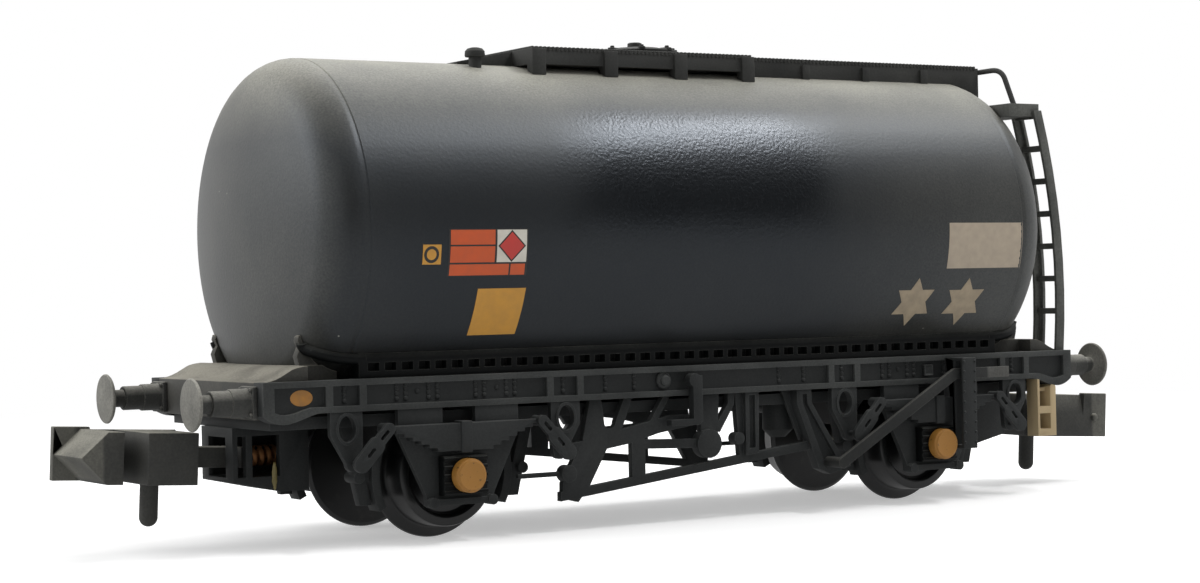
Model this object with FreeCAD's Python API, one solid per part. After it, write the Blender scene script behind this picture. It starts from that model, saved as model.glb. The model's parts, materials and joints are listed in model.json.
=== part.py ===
import FreeCAD, Part
import math
import os

# A weathered two-axle tank wagon in N scale, 1:148, standing on its wheel flanges.
# X runs along the wagon, plain end A at -X and ladder end B at +X. Y runs across it.
# Z is up from the floor. X = 0 is midway between the axles and Y = 0 is the centre line.
# Names end in a or b for the end and in l (+Y) or r (-Y) for the side.

V = FreeCAD.Vector
ORIGIN = V(0, 0, 0)
UP = V(0, 0, 1)
ALONG = V(1, 0, 0)
ACROSS = V(0, 1, 0)
ENDS = {"a": -1, "b": 1}
SIDES = {"l": 1, "r": -1}
HALF_TURN = 180

# Wagon, millimetres
wheelbase = 30.89
length_over_headstocks = 52.4
width_over_solebars = 14.66
deck_above_axle = 5.04
overrun = 1.0

# Wheelsets
flange_radius = 3.41
tread_radius = 2.80
back_to_back = 7.4
tyre_width = 2.2
flange_thickness = 0.6
rim_depth = 0.55
wheel_dish = 0.45
hub_radius = 1.1
axle_radius = 0.75
journal_radius = 0.40
axle_length = 15.1
tread_taper_share = 0.98
flange_crown_share = 0.45

# Axleboxes and their bearings
bearing_clearance = 0.06
axle_end_play = 0.08
axlebox_front = 7.85
axlebox_width = 2.5
axlebox_height = 2.0
cap_radius = 0.89
cap_depth = 0.63
cap_bevel = 0.13

# Axleguards, measured from their axle
axleguard_face = 7.25
axleguard_plate = 0.35
axleguard_top_width = 6.9
axleguard_waist_width = 6.9
axleguard_waist_rise = 2.1
axleguard_foot_width = 3.9
axleguard_foot_rise = -1.0
axleguard_drop = 1.5
crown_window_width = 1.9
crown_window_height = 0.8
tie_bar_height = 0.32
tie_bar_depth = 0.3
tie_nut_radius = 0.27
tie_nut_stand_out = 0.12
box_rib = 0.17
box_rib_pitch = 0.42
box_rib_stand_out = 0.1
box_rib_count = 5

# Leaf springs, measured from their axle
spring_half_span = 4.4
spring_top_rise = 2.65
spring_leaf_count = 7
spring_leaf_thickness = 0.2
spring_leaf_width = 0.7
spring_short_share = 0.36
spring_eye_radius = 0.27
buckle_width = 0.62
buckle_stand_out = 0.15

# Spring brackets with their ringed holes, and the swing links
bracket_offset = 6.3
bracket_width = 1.75
bracket_pin_offset = 5.93
bracket_pin_rise = 0.87
bracket_foot_radius = 0.42
ring_half_width = 0.47
ring_half_height = 0.65
ring_rise = 2.6
ring_wall = 0.15
ring_stand_out = 0.1
link_width = 0.6
link_foot_width = 0.84
link_thickness = 0.28
link_slot = 0.19
upper_link_share = 0.4
lower_link_share = 0.46
upper_slot_shares = (0.08, 0.27)
lower_slot_shares = (0.58, 0.76)

# Solebars and headstocks
solebar_depth = 1.6
solebar_thickness = 1.1
solebar_web_recess = 0.3
solebar_flange = 0.3
solebar_rib = 0.38
small_panel_width = 1.45
belly_length = 3.7
belly_drop = 0.48
belly_shares = ((0, 0), (0.35, 0.3), (0.6, 0.9), (0.72, 1), (0.88, 0.7), (1, 0.1))
panel_drop = 0.3
panel_drop_shares = ((0, 0), (0.35, 0.15), (0.7, 1), (1, 0.6))
headstock_thickness = 0.8
headstock_depth = 1.85
end_deck_thickness = 0.3
end_ramp_inset = 0.45
end_ramp_length = 2.2
end_ramp_rise = 0.72
end_ramp_shares = ((0, 0), (0.25, 0.2), (0.42, 0.45), (0.63, 0.8), (0.82, 0.95), (1, 1))
floor_thickness = 0.6
floor_gap_to_tank = 0.2
wheel_well_gap = 0.25

# Buffers
buffer_length = 3.28
buffer_spacing = 11.71
buffer_below_deck = 0.98
buffer_head_radius = 1.30
buffer_head_thickness = 0.3
buffer_head_crown = 0.12
buffer_ram_radius = 0.45
buffer_collar_radius = 0.63
buffer_housing_radius = 0.70
buffer_flange_size = 1.6
buffer_flange_thickness = 0.25
buffer_housing_share = 0.29
buffer_collar_share = 0.305

# Tank
tank_radius = 9.09
tank_below_deck = 1.61
tank_from_headstock = 1.77
dish_depth = 3.32
dish_knuckle_radius = 2.4
tank_wall = 1.0
ballast_length = 34.0
ballast_width = 8.0
ballast_height = 3.0

# Tank cradle strips and end saddles
cradle_from_solebar_face = 0.58
cradle_lip = 0.13
cradle_pocket_depth = 0.55
cradle_rib = 0.3
cradle_rib_pitch = 0.95
cradle_rail = 0.35
cradle_cell_height = 0.42
cradle_before_seam = 0.35
collar_radius = 0.3
collar_past_seam = 2.15
collar_rise = 0.9
collar_overlap = 0.4
collar_stand_out_share = 0.5
collar_turns = 6
saddle_from_seam = 0.35
strap_centre = 5.25
strap_thickness = 0.5
strap_height = 1.5
strap_reach = 1.25
strap_shares = ((0, 1), (0.89, 1), (0.95, 0.83), (0.85, 0.6), (1, 0.31), (0.9, 0), (0, 0))

# Walkway and manhole on the tank's top
platform_behind_middle = 1.3
platform_length = 14.6
platform_width = 7.0
platform_rise = 0.65
skirt_height = 0.85
skirt_thickness = 0.4
post_width = 0.85
post_stand_out = 0.2
post_count = 4
tread_plate = 0.25
walkway_past_seam = 2.49
walkway_width = 5.0
walkway_rib = 0.5
walkway_rib_count = 3
ramp_length = 3.4
ramp_width = 3.0
manhole_radius = 2.4
manhole_rise = 1.15
manhole_centre = 0.3
manhole_gap = 0.15
lid_thickness = 0.3
lid_boss_radius = 0.45
lid_boss_height = 0.45
vent_radius = 0.55
vent_height = 1.0
vent_ahead = 1.1
vent_aside = 2.4

# Ladder, its platform and the handrail at end B
ladder_centre = 5.85
ladder_width = 1.65
rail_width = 0.45
rail_depth = 0.6
rail_wall = 0.2
ladder_from_headstock_face = 0.45
ladder_bow = 0.32
ladder_top_inside_tank_end = 0.06
ladder_below_tank_top = 2.22
rung_count = 7
first_rung_height = 2.35
last_rung_below_top = 0.3
ladder_line_points = 8
rung_thickness = 0.35
ladder_platform_length = 2.3
ladder_platform_thickness = 0.4
handrail_radius = 0.16
handrail_reach = 1.9
handrail_lift = 0.1
handrail_bend = 0.7

# Brake gear on each side, measured from the wagon's middle and up from the floor
brake_plate = 0.4
gear_left = 9.5
gear_right = 9.7
gear_floor = 1.5
gear_flange_stand_out = 0.25
hanger_boss_radius = 0.45
shaft_boss_radius = 0.78
knob_radius = 0.33
v_cut_radius = 0.36
brake_rod_radius = 0.13
brake_rod_length = 2.9
strap_stand_out = 0.5
strap_knob_radius = 0.36

# Brake gear outlines, as shares of the gear's length from its left and of its height from its foot
hanger_plate_shares = ((0.059, 0.467), (0.163, 0.523), (0.103, 0.159), (0.065, 0.004), (0.016, 0.052),
                       (0.017, 0.202))
hanger_boss_share = (0.031, 0.290)
upper_bar_shares = ((0.028, 0.561), (0.239, 0.712), (0.371, 0.804), (0.462, 0.802), (0.461, 0.699),
                    (0.331, 0.632), (0.238, 0.548), (0.059, 0.454))
lower_bar_shares = ((0.010, 0.112), (0.870, 0.467), (0.870, 0.378), (0.010, 0.022))
v_hanger_shares = ((0.109, 1), (0.245, 1), (0.206, 0.654), (0.081, 0.579))
v_cut_shares = ((0.143, 1.03), (0.224, 1.03), (0.190, 0.770), (0.153, 0.770))
v_cut_end_share = (0.1715, 0.770)
slant_strut_shares = ((0.350, 1), (0.371, 1), (0.326, 0.748), (0.303, 0.748))
drop_strut_shares = ((0.242, 0.579), (0.285, 0.617), (0.285, 0.187), (0.242, 0.168))
push_rod_shares = ((0.271, 0.486), (0.271, 0.579), (0.474, 0.551), (0.474, 0.458))
shaft_post_shares = ((0.474, 1), (0.537, 1), (0.531, 0.542), (0.474, 0.542))
shaft_boss_share = (0.495, 0.499)
slant_leg_shares = ((0.569, 1), (0.592, 1), (0.589, 0.879), (0.539, 0.607), (0.518, 0.636), (0.569, 0.897))
knob_bar_shares = ((0.593, 1), (0.620, 1), (0.628, 0.355), (0.606, 0.355))
knob_share = (0.598, 0.533)
channel_post_shares = ((0.621, 1), (0.667, 1), (0.664, 0.374), (0.620, 0.355))
channel_post_cut_shares = ((0.633, 0.972), (0.654, 0.972), (0.653, 0.430), (0.632, 0.421))
rear_channel_shares = ((0.803, 1), (0.855, 1), (0.855, 0.864), (0.960, 0.284), (0.996, 0.174), (0.917, 0.103),
                       (0.878, 0.166), (0.803, 0.860))
rear_channel_cut_shares = ((0.823, 0.953), (0.840, 0.953), (0.840, 0.850), (0.940, 0.290), (0.898, 0.224),
                           (0.823, 0.860))
back_strut_shares = ((0.771, 1), (0.810, 1), (0.854, 0.486), (0.836, 0.467))
gear_strap_shares = ((0.344, 0.705), (0.438, 0.705), (0.4495, 0.740), (0.4495, 1.196), (0.419, 1.196),
                     (0.419, 0.766), (0.344, 0.766))
gear_strap_elbow_share = (0.419, 0.705)
gear_strap_knob_share = (0.4255, 1.155)

# Brake cylinder under the floor
brake_cylinder_x = 6.25
brake_cylinder_y = 4.8
brake_cylinder_radius = 0.86
brake_cylinder_drop = 1.9
brake_cylinder_pipe = 0.3

# Brake levers and their guards, measured from the axle at that end
lever_plane = 8.55
lever_thickness = 0.25
lever_depth = 0.6
lever_pivot_inboard = 7.45
lever_pivot_height = 2.75
lever_knee_outboard = 0.75
lever_knee_below_deck = 1.05
lever_tip_outboard = 4.75
lever_pin_radius = 0.3
guard_outboard = 1.5
guard_width = 1.0
guard_plate = 0.2
guard_gap = 0.5
guard_foot = 3.1

# Brake blocks and hangers at the wheels
block_thickness = 0.45
block_gap = 0.2
block_width = 1.2
block_spread_degrees = 26
block_hanger_width = 0.5
block_hanger_depth = 0.68
block_hanger_foot = 1.0
block_hanger_head = 2.0
block_hanger_drop = 1.45
block_lug_height = 0.5
block_pin_radius = 0.3

# Footsteps
step_from_headstock_face = 1.985
step_width = 1.43
step_depth = 0.95
step_bottom = 3.4
step_left_wall = 0.16
step_right_wall = 0.43
step_rung = 0.42
step_rung_share = 0.45
step_short_post = 0.6

# Couplers and their pockets
pocket_from_headstock_face = 0.6
pocket_length = 4.2
pocket_width = 4.0
pocket_wall = 0.5
pocket_bottom = 2.7
pocket_floor = 0.8
pocket_front_rise = 0.58
pocket_slope_length = 2.6
pocket_post = 0.35
pocket_slot_length = 0.45
pocket_window_length = 1.5
pocket_window_height = 2.1
pocket_lip = 0.3
pocket_mouth = 2.2
coupler_pivot_from_pocket_front = 1.05
coupler_pivot_z = 4.47
coupler_tilt = 3.0
tail_bar_length = 2.7
tail_bar_depth = 0.6
shank_width = 1.3
shank_height = 1.05
coupler_reach = 8.95
head_width = 5.2
head_height = 2.6
head_wall = 0.45
head_block_length = 2.4
head_block_short = 0.65
head_slot = 0.95
beak_length = 2.2
beak_bevel = 1.35
beak_width = 4.0
wall_step = 0.12
wall_step_length = 1.9
wall_bevel = 0.36
drop_pin_radius = 0.47
drop_pin_length = 2.2
drop_pin_back = 4.3
coil_radius = 0.65

# Heights that follow from the sizes above
axle_z = flange_radius
deck_z = axle_z + deck_above_axle
tank_z = deck_z - tank_below_deck + tank_radius
tank_top_z = tank_z + tank_radius
floor_z = deck_z - tank_below_deck - floor_gap_to_tank
solebar_bottom = deck_z - solebar_depth
buffer_z = deck_z - buffer_below_deck
solebar_face = width_over_solebars / 2
headstock_face = length_over_headstocks / 2
tank_end_x = headstock_face - tank_from_headstock
seam_x = tank_end_x - dish_depth
axle_x = wheelbase / 2
brake_plane = axleguard_face - axleguard_plate
end_ramp_start = headstock_face - end_ramp_inset
saddle_end = end_ramp_start - end_ramp_length
cradle_reach = solebar_face - cradle_from_solebar_face
cradle_top_z = tank_z - math.sqrt(tank_radius ** 2 - (cradle_reach - cradle_lip) ** 2)
platform_centre = -platform_behind_middle
walkway_end = seam_x + walkway_past_seam
ladder_foot = headstock_face - ladder_from_headstock_face
ladder_height = tank_top_z - ladder_below_tank_top - deck_z
ladder_lean = ladder_foot - tank_end_x + ladder_top_inside_tank_end
rung_spacing = (ladder_height - last_rung_below_top - first_rung_height) / (rung_count - 1)
cradle_end = seam_x - cradle_before_seam
pocket_front = headstock_face - pocket_from_headstock_face
coupler_pivot_x = pocket_front - coupler_pivot_from_pocket_front


def block(x, y, z):
    """A box from three (low, high) pairs, in either order."""
    low = V(min(x), min(y), min(z))
    size = [abs(pair[1] - pair[0]) for pair in (x, y, z)]
    return Part.makeBox(size[0], size[1], size[2], low)


def both_ways(half):
    return (-half, half)


def around(centre, width):
    return (centre - width / 2, centre + width / 2)


def side_prism(points, y):
    """A flat outline of (x, z) points, carried across from y[0] to y[1]."""
    corners = [V(x, y[0], z) for x, z in points]
    face = Part.Face(Part.makePolygon(corners + corners[:1]))
    return face.extrude(V(0, y[1] - y[0], 0))


def end_prism(points, x):
    """A flat outline of (y, z) points, carried along from x[0] to x[1]."""
    corners = [V(x[0], y, z) for y, z in points]
    face = Part.Face(Part.makePolygon(corners + corners[:1]))
    return face.extrude(V(x[1] - x[0], 0, 0))


def curved_prism(curve, straight, y):
    """A flat outline with one smooth edge through the curve's points, closed by straight edges."""
    bend = Part.BSplineCurve()
    bend.interpolate([V(x, y[0], z) for x, z in curve])
    corners = [V(x, y[0], z) for x, z in curve[-1:] + straight + curve[:1]]
    face = Part.Face(Part.Wire([bend.toShape()] + Part.makePolygon(corners).Edges))
    return face.extrude(V(0, y[1] - y[0], 0))


def drum_across(x, z, y, radius):
    """A cylinder whose axis runs across the wagon."""
    return Part.makeCylinder(radius, abs(y[1] - y[0]), V(x, min(y), z), ACROSS)


def drum_along(y, z, x, radius):
    """A cylinder whose axis runs along the wagon."""
    return Part.makeCylinder(radius, abs(x[1] - x[0]), V(min(x), y, z), ALONG)


def bar_between(start, end, width, y):
    """A flat bar of even width between two (x, z) points."""
    run = V(end[0] - start[0], 0, end[1] - start[1])
    across = V(-run.z, 0, run.x).normalize() * (width / 2)
    points = [
        (start[0] + across.x, start[1] + across.z),
        (end[0] + across.x, end[1] + across.z),
        (end[0] - across.x, end[1] - across.z),
        (start[0] - across.x, start[1] - across.z),
    ]
    return side_prism(points, y)


def rounded_bar(start, end, width, y):
    """A flat bar with round ends."""
    eyes = [drum_across(x, z, y, width / 2) for x, z in (start, end)]
    return joined([bar_between(start, end, width, y)] + eyes)


def joined(pieces):
    return pieces[0].multiFuse(pieces[1:]).removeSplitter()


def group(pieces):
    """Solids that don't touch, kept together as one node."""
    solids = [solid for piece in pieces for solid in piece.Solids]
    return Part.makeCompound(solids)


def mirrored_side(shape, side):
    """The +Y piece, or its mirror image on the -Y side."""
    return shape if side > 0 else shape.mirror(ORIGIN, ACROSS)


def mirrored_end(shape, end):
    """The +X piece, or its mirror image at the -X end."""
    return shape if end > 0 else shape.mirror(ORIGIN, ALONG)


def turned_side(shape, side):
    """The -Y piece as drawn, or turned half round the upright axis onto the +Y side."""
    return shape if side < 0 else shape.rotated(ORIGIN, UP, HALF_TURN)


def moved(shape, x=0, y=0, z=0):
    return shape.translated(V(x, y, z))


def save(node, shape):
    shape.exportStep("parts/" + node + ".step")


def dish_solid(radius, depth, knuckle, start):
    """The solid dished form of one end: a tight knuckle arc, then a shallow crown arc to the middle."""
    crown = ((radius - knuckle) ** 2 + depth ** 2 - knuckle ** 2) / (2 * (depth - knuckle))
    turn = math.asin((radius - knuckle) / (crown - knuckle))
    half_knuckle = (math.pi / 2 + turn) / 2
    rim = V(start, 0, radius)
    bend = V(start + knuckle * math.cos(half_knuckle), 0, radius - knuckle + knuckle * math.sin(half_knuckle))
    meeting = V(start + depth - crown * (1 - math.cos(turn)), 0, crown * math.sin(turn))
    bulge = V(start + depth - crown * (1 - math.cos(turn / 2)), 0, crown * math.sin(turn / 2))
    pole = V(start + depth, 0, 0)
    middle = V(start, 0, 0)
    edges = [Part.Arc(rim, bend, meeting).toShape(), Part.Arc(meeting, bulge, pole).toShape(),
             Part.makeLine(pole, middle), Part.makeLine(middle, rim)]
    face = Part.Face(Part.Wire(edges))
    return moved(face.revolve(ORIGIN, ALONG, 360), z=tank_z)


def tank_body():
    """The outside of the tank as one solid, for seating pieces on it."""
    barrel = drum_along(0, tank_z, both_ways(seam_x), tank_radius)
    end = dish_solid(tank_radius, dish_depth, dish_knuckle_radius, seam_x)
    return joined([barrel, end, mirrored_end(end, -1)])


def make_tank():
    inner_radius = tank_radius - tank_wall
    outside = drum_along(0, tank_z, both_ways(seam_x), tank_radius)
    inside = drum_along(0, tank_z, both_ways(seam_x), inner_radius)
    save("tank_barrel", outside.cut(inside))
    shell = dish_solid(tank_radius, dish_depth, dish_knuckle_radius, seam_x)
    hollow = dish_solid(inner_radius, dish_depth - tank_wall, dish_knuckle_radius - tank_wall, seam_x)
    tank_end = shell.cut(hollow)
    for name, end in ENDS.items():
        save("tank_end_" + name, mirrored_end(tank_end, end))
    seat = tank_z - math.sqrt(inner_radius ** 2 - (ballast_width / 2) ** 2)
    save("ballast_bar", block(both_ways(ballast_length / 2), both_ways(ballast_width / 2),
                              (seat, seat + ballast_height)))


def cradle_collar(tank):
    """The round lip that leaves a cradle at the seam, bends in round the dished end and climbs to the strap."""
    start = cradle_end - collar_overlap
    reach = seam_x + collar_past_seam - start
    low = cradle_top_z - collar_radius
    points = []
    for index in range(collar_turns + 1):
        turn = math.pi / 2 * index / collar_turns
        x = start + reach * math.sin(turn)
        z = low + collar_rise * (1 - math.cos(turn))
        skin = Part.makeLine(V(x, 0, z), V(x, solebar_face, z)).common(tank).BoundBox.YMax
        points.append(V(x, skin + collar_radius * collar_stand_out_share, z))
    bend = Part.BSplineCurve()
    bend.interpolate(points)
    section = Part.Wire(Part.makeCircle(collar_radius, points[0], points[1] - points[0]))
    return Part.Wire([bend.toShape()]).makePipeShell([section], True, False)


def make_cradles(tank, saddle):
    """Ribbed strips along the tank's foot, standing on the solebars, with a round lip at each end."""
    inner = cradle_reach - solebar_thickness
    top = cradle_top_z
    shoulder = top - collar_radius
    strip = end_prism([(inner, deck_z), (cradle_reach, deck_z), (cradle_reach, shoulder),
                       (cradle_reach - cradle_lip, top), (inner, top)], both_ways(cradle_end))
    count = int((2 * cradle_end - cradle_rib) / cradle_rib_pitch)
    first = -count * cradle_rib_pitch / 2
    pockets = []
    for index in range(count):
        start = first + index * cradle_rib_pitch + cradle_rib / 2
        pockets.append(block((start, start + cradle_rib_pitch - cradle_rib),
                             (cradle_reach - cradle_pocket_depth, cradle_reach + overrun),
                             (deck_z + cradle_rail, deck_z + cradle_rail + cradle_cell_height)))
    collar = cradle_collar(tank)
    strip = joined([strip.cut(Part.makeCompound(pockets)), collar, mirrored_end(collar, -1)])
    strip = strip.cut(tank).cut(saddle).cut(mirrored_end(saddle, -1))
    for name, side in SIDES.items():
        save("tank_cradle_" + name, mirrored_side(strip, side))


def make_saddles(tank):
    """Seats under the dished ends, each with a curved ramp down to the headstock and two straps."""
    start = seam_x + saddle_from_seam
    top = deck_z + end_ramp_rise
    seat = block((start, saddle_end), both_ways(cradle_reach - solebar_thickness), (floor_z, top))
    curve = [(end_ramp_start - share * end_ramp_length, deck_z + rise * end_ramp_rise)
             for share, rise in end_ramp_shares]
    ramp = curved_prism(curve, [(saddle_end, deck_z)], both_ways(cradle_reach))
    pieces = [seat, ramp]
    foot = saddle_end - strap_reach
    outline = [(foot + share * strap_reach, top + rise * strap_height) for share, rise in strap_shares]
    for side in SIDES.values():
        pieces.append(side_prism(outline, around(side * strap_centre, strap_thickness)))
    saddle = joined(pieces).cut(tank)
    for name, end in ENDS.items():
        save("tank_saddle_" + name, mirrored_end(saddle, end))
    return saddle


def make_walkway(tank):
    """Sloping tip, then the narrower run of the walkway to end B, cut to the tank."""
    plate_z = tank_top_z + platform_rise
    left = platform_centre - platform_length / 2
    right = platform_centre + platform_length / 2
    low = tank_z
    tip = side_prism([(left, plate_z), (left - ramp_length, plate_z - platform_rise),
                      (left - ramp_length, low), (left, low)], both_ways(ramp_width / 2))
    half = walkway_width / 2
    run = block((right, walkway_end), both_ways(half), (low, plate_z))
    hollow = block((right + skirt_thickness, walkway_end - skirt_thickness),
                   both_ways(half - skirt_thickness), (low - overrun, plate_z - tread_plate))
    spacing = (walkway_end - right) / (walkway_rib_count + 1)
    ribs = []
    for index in range(walkway_rib_count):
        middle = right + spacing * (index + 1)
        ribs.append(block(around(middle, walkway_rib), both_ways(half + post_stand_out),
                          (low, plate_z - tread_plate)))
    run = joined([run] + ribs).cut(hollow)
    save("walkway", group([tip.cut(tank), run.cut(tank)]))


def make_platform(tank):
    plate_z = tank_top_z + platform_rise
    half = platform_width / 2
    span = around(platform_centre, platform_length)
    skirt_low = plate_z - skirt_height
    tray = block(span, both_ways(half), (skirt_low, plate_z))
    hollow = block((span[0] + skirt_thickness, span[1] - skirt_thickness),
                   both_ways(half - skirt_thickness), (skirt_low - overrun, plate_z - tread_plate))
    manhole = Part.makeCylinder(manhole_radius + manhole_gap, plate_z + overrun - tank_z,
                                V(manhole_centre, 0, tank_z), UP)
    posts = []
    spacing = (platform_length - post_width) / (post_count - 1)
    for index in range(post_count):
        middle = span[0] + post_width / 2 + spacing * index
        for side in SIDES.values():
            edge = side * (half + post_stand_out)
            posts.append(block(around(middle, post_width), (edge, side * (half - skirt_thickness)),
                               (tank_z, plate_z)))
    shape = joined([tray.cut(hollow)] + posts).cut(tank).cut(manhole)
    save("manhole_platform", shape)


def make_manhole(tank):
    top = tank_top_z + manhole_rise
    neck = Part.makeCylinder(manhole_radius - lid_thickness, top - tank_z, V(manhole_centre, 0, tank_z))
    lid = Part.makeCylinder(manhole_radius, lid_thickness, V(manhole_centre, 0, top - lid_thickness))
    boss = Part.makeCylinder(lid_boss_radius, lid_boss_height + lid_thickness,
                             V(manhole_centre, 0, top - lid_thickness))
    save("manhole_lid", joined([neck, lid, boss]).cut(tank))
    centre_x = platform_centre - platform_length / 2 - ramp_length / 2 - vent_ahead
    vent_top = tank_z + math.sqrt(tank_radius ** 2 - vent_aside ** 2) + vent_height
    vent = Part.makeCylinder(vent_radius, vent_top - tank_z, V(centre_x, -vent_aside, tank_z))
    save("vent_cover", vent.cut(tank))


def rail_line(height):
    """How far out from X = 0 the ladder's rails stand at a height above the deck."""
    share = height / ladder_height
    return ladder_foot + 4 * ladder_bow * share * (1 - share) - ladder_lean * share ** 2


def make_ladder(tank, saddle):
    heights = [ladder_height * index / ladder_line_points for index in range(ladder_line_points + 1)]
    outer = [(rail_line(height) + rail_depth / 2, deck_z + height) for height in heights]
    inner = [(rail_line(height) - rail_depth / 2, deck_z + height) for height in reversed(heights)]
    web = [(x - rail_wall, z) for x, z in outer]
    past = [(x - rail_depth, z) for x, z in inner]
    pieces = []
    for side in SIDES.values():
        middle = -ladder_centre + side * ladder_width / 2
        rail = side_prism(outer + inner, around(middle, rail_width))
        open_side = middle - side * rail_wall
        angle = side_prism(web + past, around(open_side, rail_width))
        pieces.append(rail.cut(angle))
    for index in range(rung_count):
        height = first_rung_height + index * rung_spacing
        x = rail_line(height)
        pieces.append(block(around(x, rung_thickness), around(-ladder_centre, ladder_width),
                            around(deck_z + height, rung_thickness)))
    platform_low = deck_z + ladder_height
    platform_x = rail_line(ladder_height) + rail_depth / 2
    near = -ladder_centre - ladder_width / 2
    pieces.append(block((platform_x - ladder_platform_length, platform_x),
                        (near, -walkway_width / 2),
                        (platform_low - rung_thickness, platform_low + ladder_platform_thickness)))
    save("ladder", joined(pieces).cut(tank).cut(saddle))
    platform_top = platform_low + ladder_platform_thickness
    start = V(walkway_end, -walkway_width / 2 + rail_width, tank_top_z + platform_rise - tread_plate)
    knee = V(platform_x - rail_width, start.y - handrail_reach, start.z + handrail_lift)
    foot = V(platform_x - rail_width, -ladder_centre + ladder_width / 2, platform_top)
    before = knee + (start - knee).normalize() * handrail_bend
    after = knee + (foot - knee).normalize() * handrail_bend
    bend = Part.BezierCurve()
    bend.setPoles([before, knee, after])
    route = Part.Wire([Part.makeLine(start, before), bend.toShape(), Part.makeLine(after, foot)])
    section = Part.Wire(Part.makeCircle(handrail_radius, start, knee - start))
    save("handrail", route.makePipeShell([section], True, True, 1))


def make_floor():
    plate = block(both_ways(headstock_face - headstock_thickness), both_ways(solebar_face - solebar_thickness),
                  (floor_z - floor_thickness, floor_z))
    wells = []
    for end in ENDS.values():
        for side in SIDES.values():
            wells.append(block(around(end * axle_x, 2 * (flange_radius + wheel_well_gap)),
                               (side * (back_to_back / 2 - wheel_well_gap),
                                side * (back_to_back / 2 + tyre_width + wheel_well_gap)),
                               (floor_z - floor_thickness - overrun, floor_z + overrun)))
    save("floor_plate", plate.cut(Part.makeCompound(wells)))


def solebar_panels():
    """The (low, high) stretches between the ribs, from end A to end B."""
    small = [end * axle_x + side * bracket_offset for end in (-1, 1) for side in (-1, 1)]
    last = headstock_face - solebar_flange * 2
    edges = [-last]
    for centre in small:
        edges += [centre - small_panel_width / 2 - solebar_rib, centre - small_panel_width / 2,
                  centre + small_panel_width / 2, centre + small_panel_width / 2 + solebar_rib]
    edges.append(last)
    return [(edges[index], edges[index + 1]) for index in range(0, len(edges), 2)]


def make_solebars():
    """Channel-like side members with ribbed panels and a deeper belly at each end."""
    inner = solebar_face - solebar_thickness
    bar = block(both_ways(headstock_face), (inner, solebar_face), (solebar_bottom, deck_z))
    start = headstock_face - belly_length
    low = [(start + share * belly_length, solebar_bottom - drop * belly_drop) for share, drop in belly_shares]
    belly = curved_prism(low, [(headstock_face, solebar_bottom + solebar_flange),
                               (start, solebar_bottom + solebar_flange)], (inner, solebar_face))
    web_y = (solebar_face - solebar_web_recess, solebar_face + overrun)
    panels = []
    for panel_low, panel_high in solebar_panels():
        panels.append(block((panel_low, panel_high), web_y,
                            (solebar_bottom + solebar_flange, deck_z - solebar_flange)))
    left, right = solebar_panels()[-1]
    sill = solebar_bottom + solebar_flange
    curve = [(left + share * (right - left), sill - drop * panel_drop) for share, drop in panel_drop_shares]
    dip = curved_prism(curve, [(right, sill + solebar_flange), (left, sill + solebar_flange)], web_y)
    cuts = panels + [dip, mirrored_end(dip, -1)]
    bar = joined([bar, belly, mirrored_end(belly, -1)]).cut(Part.makeCompound(cuts))
    for name, side in SIDES.items():
        save("solebar_" + name, mirrored_side(bar, side))
    return bar


def make_headstocks(tank):
    """End beams between the solebars, each with its strip of deck back to the tank's seat."""
    inner_x = headstock_face - headstock_thickness
    inner_y = solebar_face - solebar_thickness
    beam = block((inner_x, headstock_face), both_ways(inner_y), (deck_z - headstock_depth, deck_z))
    deck = block((saddle_end, inner_x), both_ways(inner_y), (deck_z - end_deck_thickness, deck_z))
    shape = joined([beam, deck]).cut(tank)
    for name, end in ENDS.items():
        save("headstock_" + name, mirrored_end(shape, end))


def make_buffers():
    base = headstock_face
    tip = base + buffer_length
    housing_end = base + buffer_flange_thickness + buffer_length * buffer_housing_share
    collar_end = housing_end + buffer_length * buffer_collar_share
    head_back = tip - buffer_head_thickness
    rim = tip - buffer_head_crown
    outline = [(base, 0), (base, buffer_housing_radius), (housing_end, buffer_housing_radius),
               (housing_end, buffer_collar_radius), (collar_end, buffer_collar_radius),
               (collar_end, buffer_ram_radius), (head_back, buffer_ram_radius),
               (head_back, buffer_head_radius), (rim, buffer_head_radius)]
    corners = [V(x, 0, radius) for x, radius in outline]
    ball_radius = (buffer_head_radius ** 2 + buffer_head_crown ** 2) / (2 * buffer_head_crown)
    half_angle = math.asin(buffer_head_radius / ball_radius) / 2
    mid_point = V(tip - ball_radius * (1 - math.cos(half_angle)), 0, ball_radius * math.sin(half_angle))
    crown = Part.Arc(corners[-1], mid_point, V(tip, 0, 0))
    edges = [Part.makePolygon(corners), crown.toShape(), Part.makeLine(V(tip, 0, 0), corners[0])]
    face = Part.Face(Part.Wire([edge for item in edges for edge in item.Edges]))
    stem = face.revolve(ORIGIN, ALONG, 360)
    flange = block((base, base + buffer_flange_thickness), both_ways(buffer_flange_size / 2),
                   both_ways(buffer_flange_size / 2))
    buffer = moved(joined([stem, flange]), y=buffer_spacing / 2, z=buffer_z)
    for end_name, end in ENDS.items():
        for side_name, side in SIDES.items():
            save("buffer_" + end_name + side_name, mirrored_side(mirrored_end(buffer, end), side))


def wheel_outline():
    """Half section of one wheel as (y, radius) from the hub's inner face."""
    inner = back_to_back / 2
    outer = inner + tyre_width
    crown = flange_thickness * flange_crown_share
    rim_inner = tread_radius - rim_depth
    return [(inner, axle_radius), (inner, flange_radius - crown / 2), (inner + crown / 2, flange_radius),
            (inner + crown, flange_radius), (inner + flange_thickness, tread_radius),
            (outer, tread_radius * tread_taper_share), (outer, rim_inner),
            (outer - wheel_dish, rim_inner - wheel_dish / 2), (outer - wheel_dish, hub_radius + wheel_dish / 2),
            (outer, hub_radius), (outer, axle_radius)]


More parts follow.
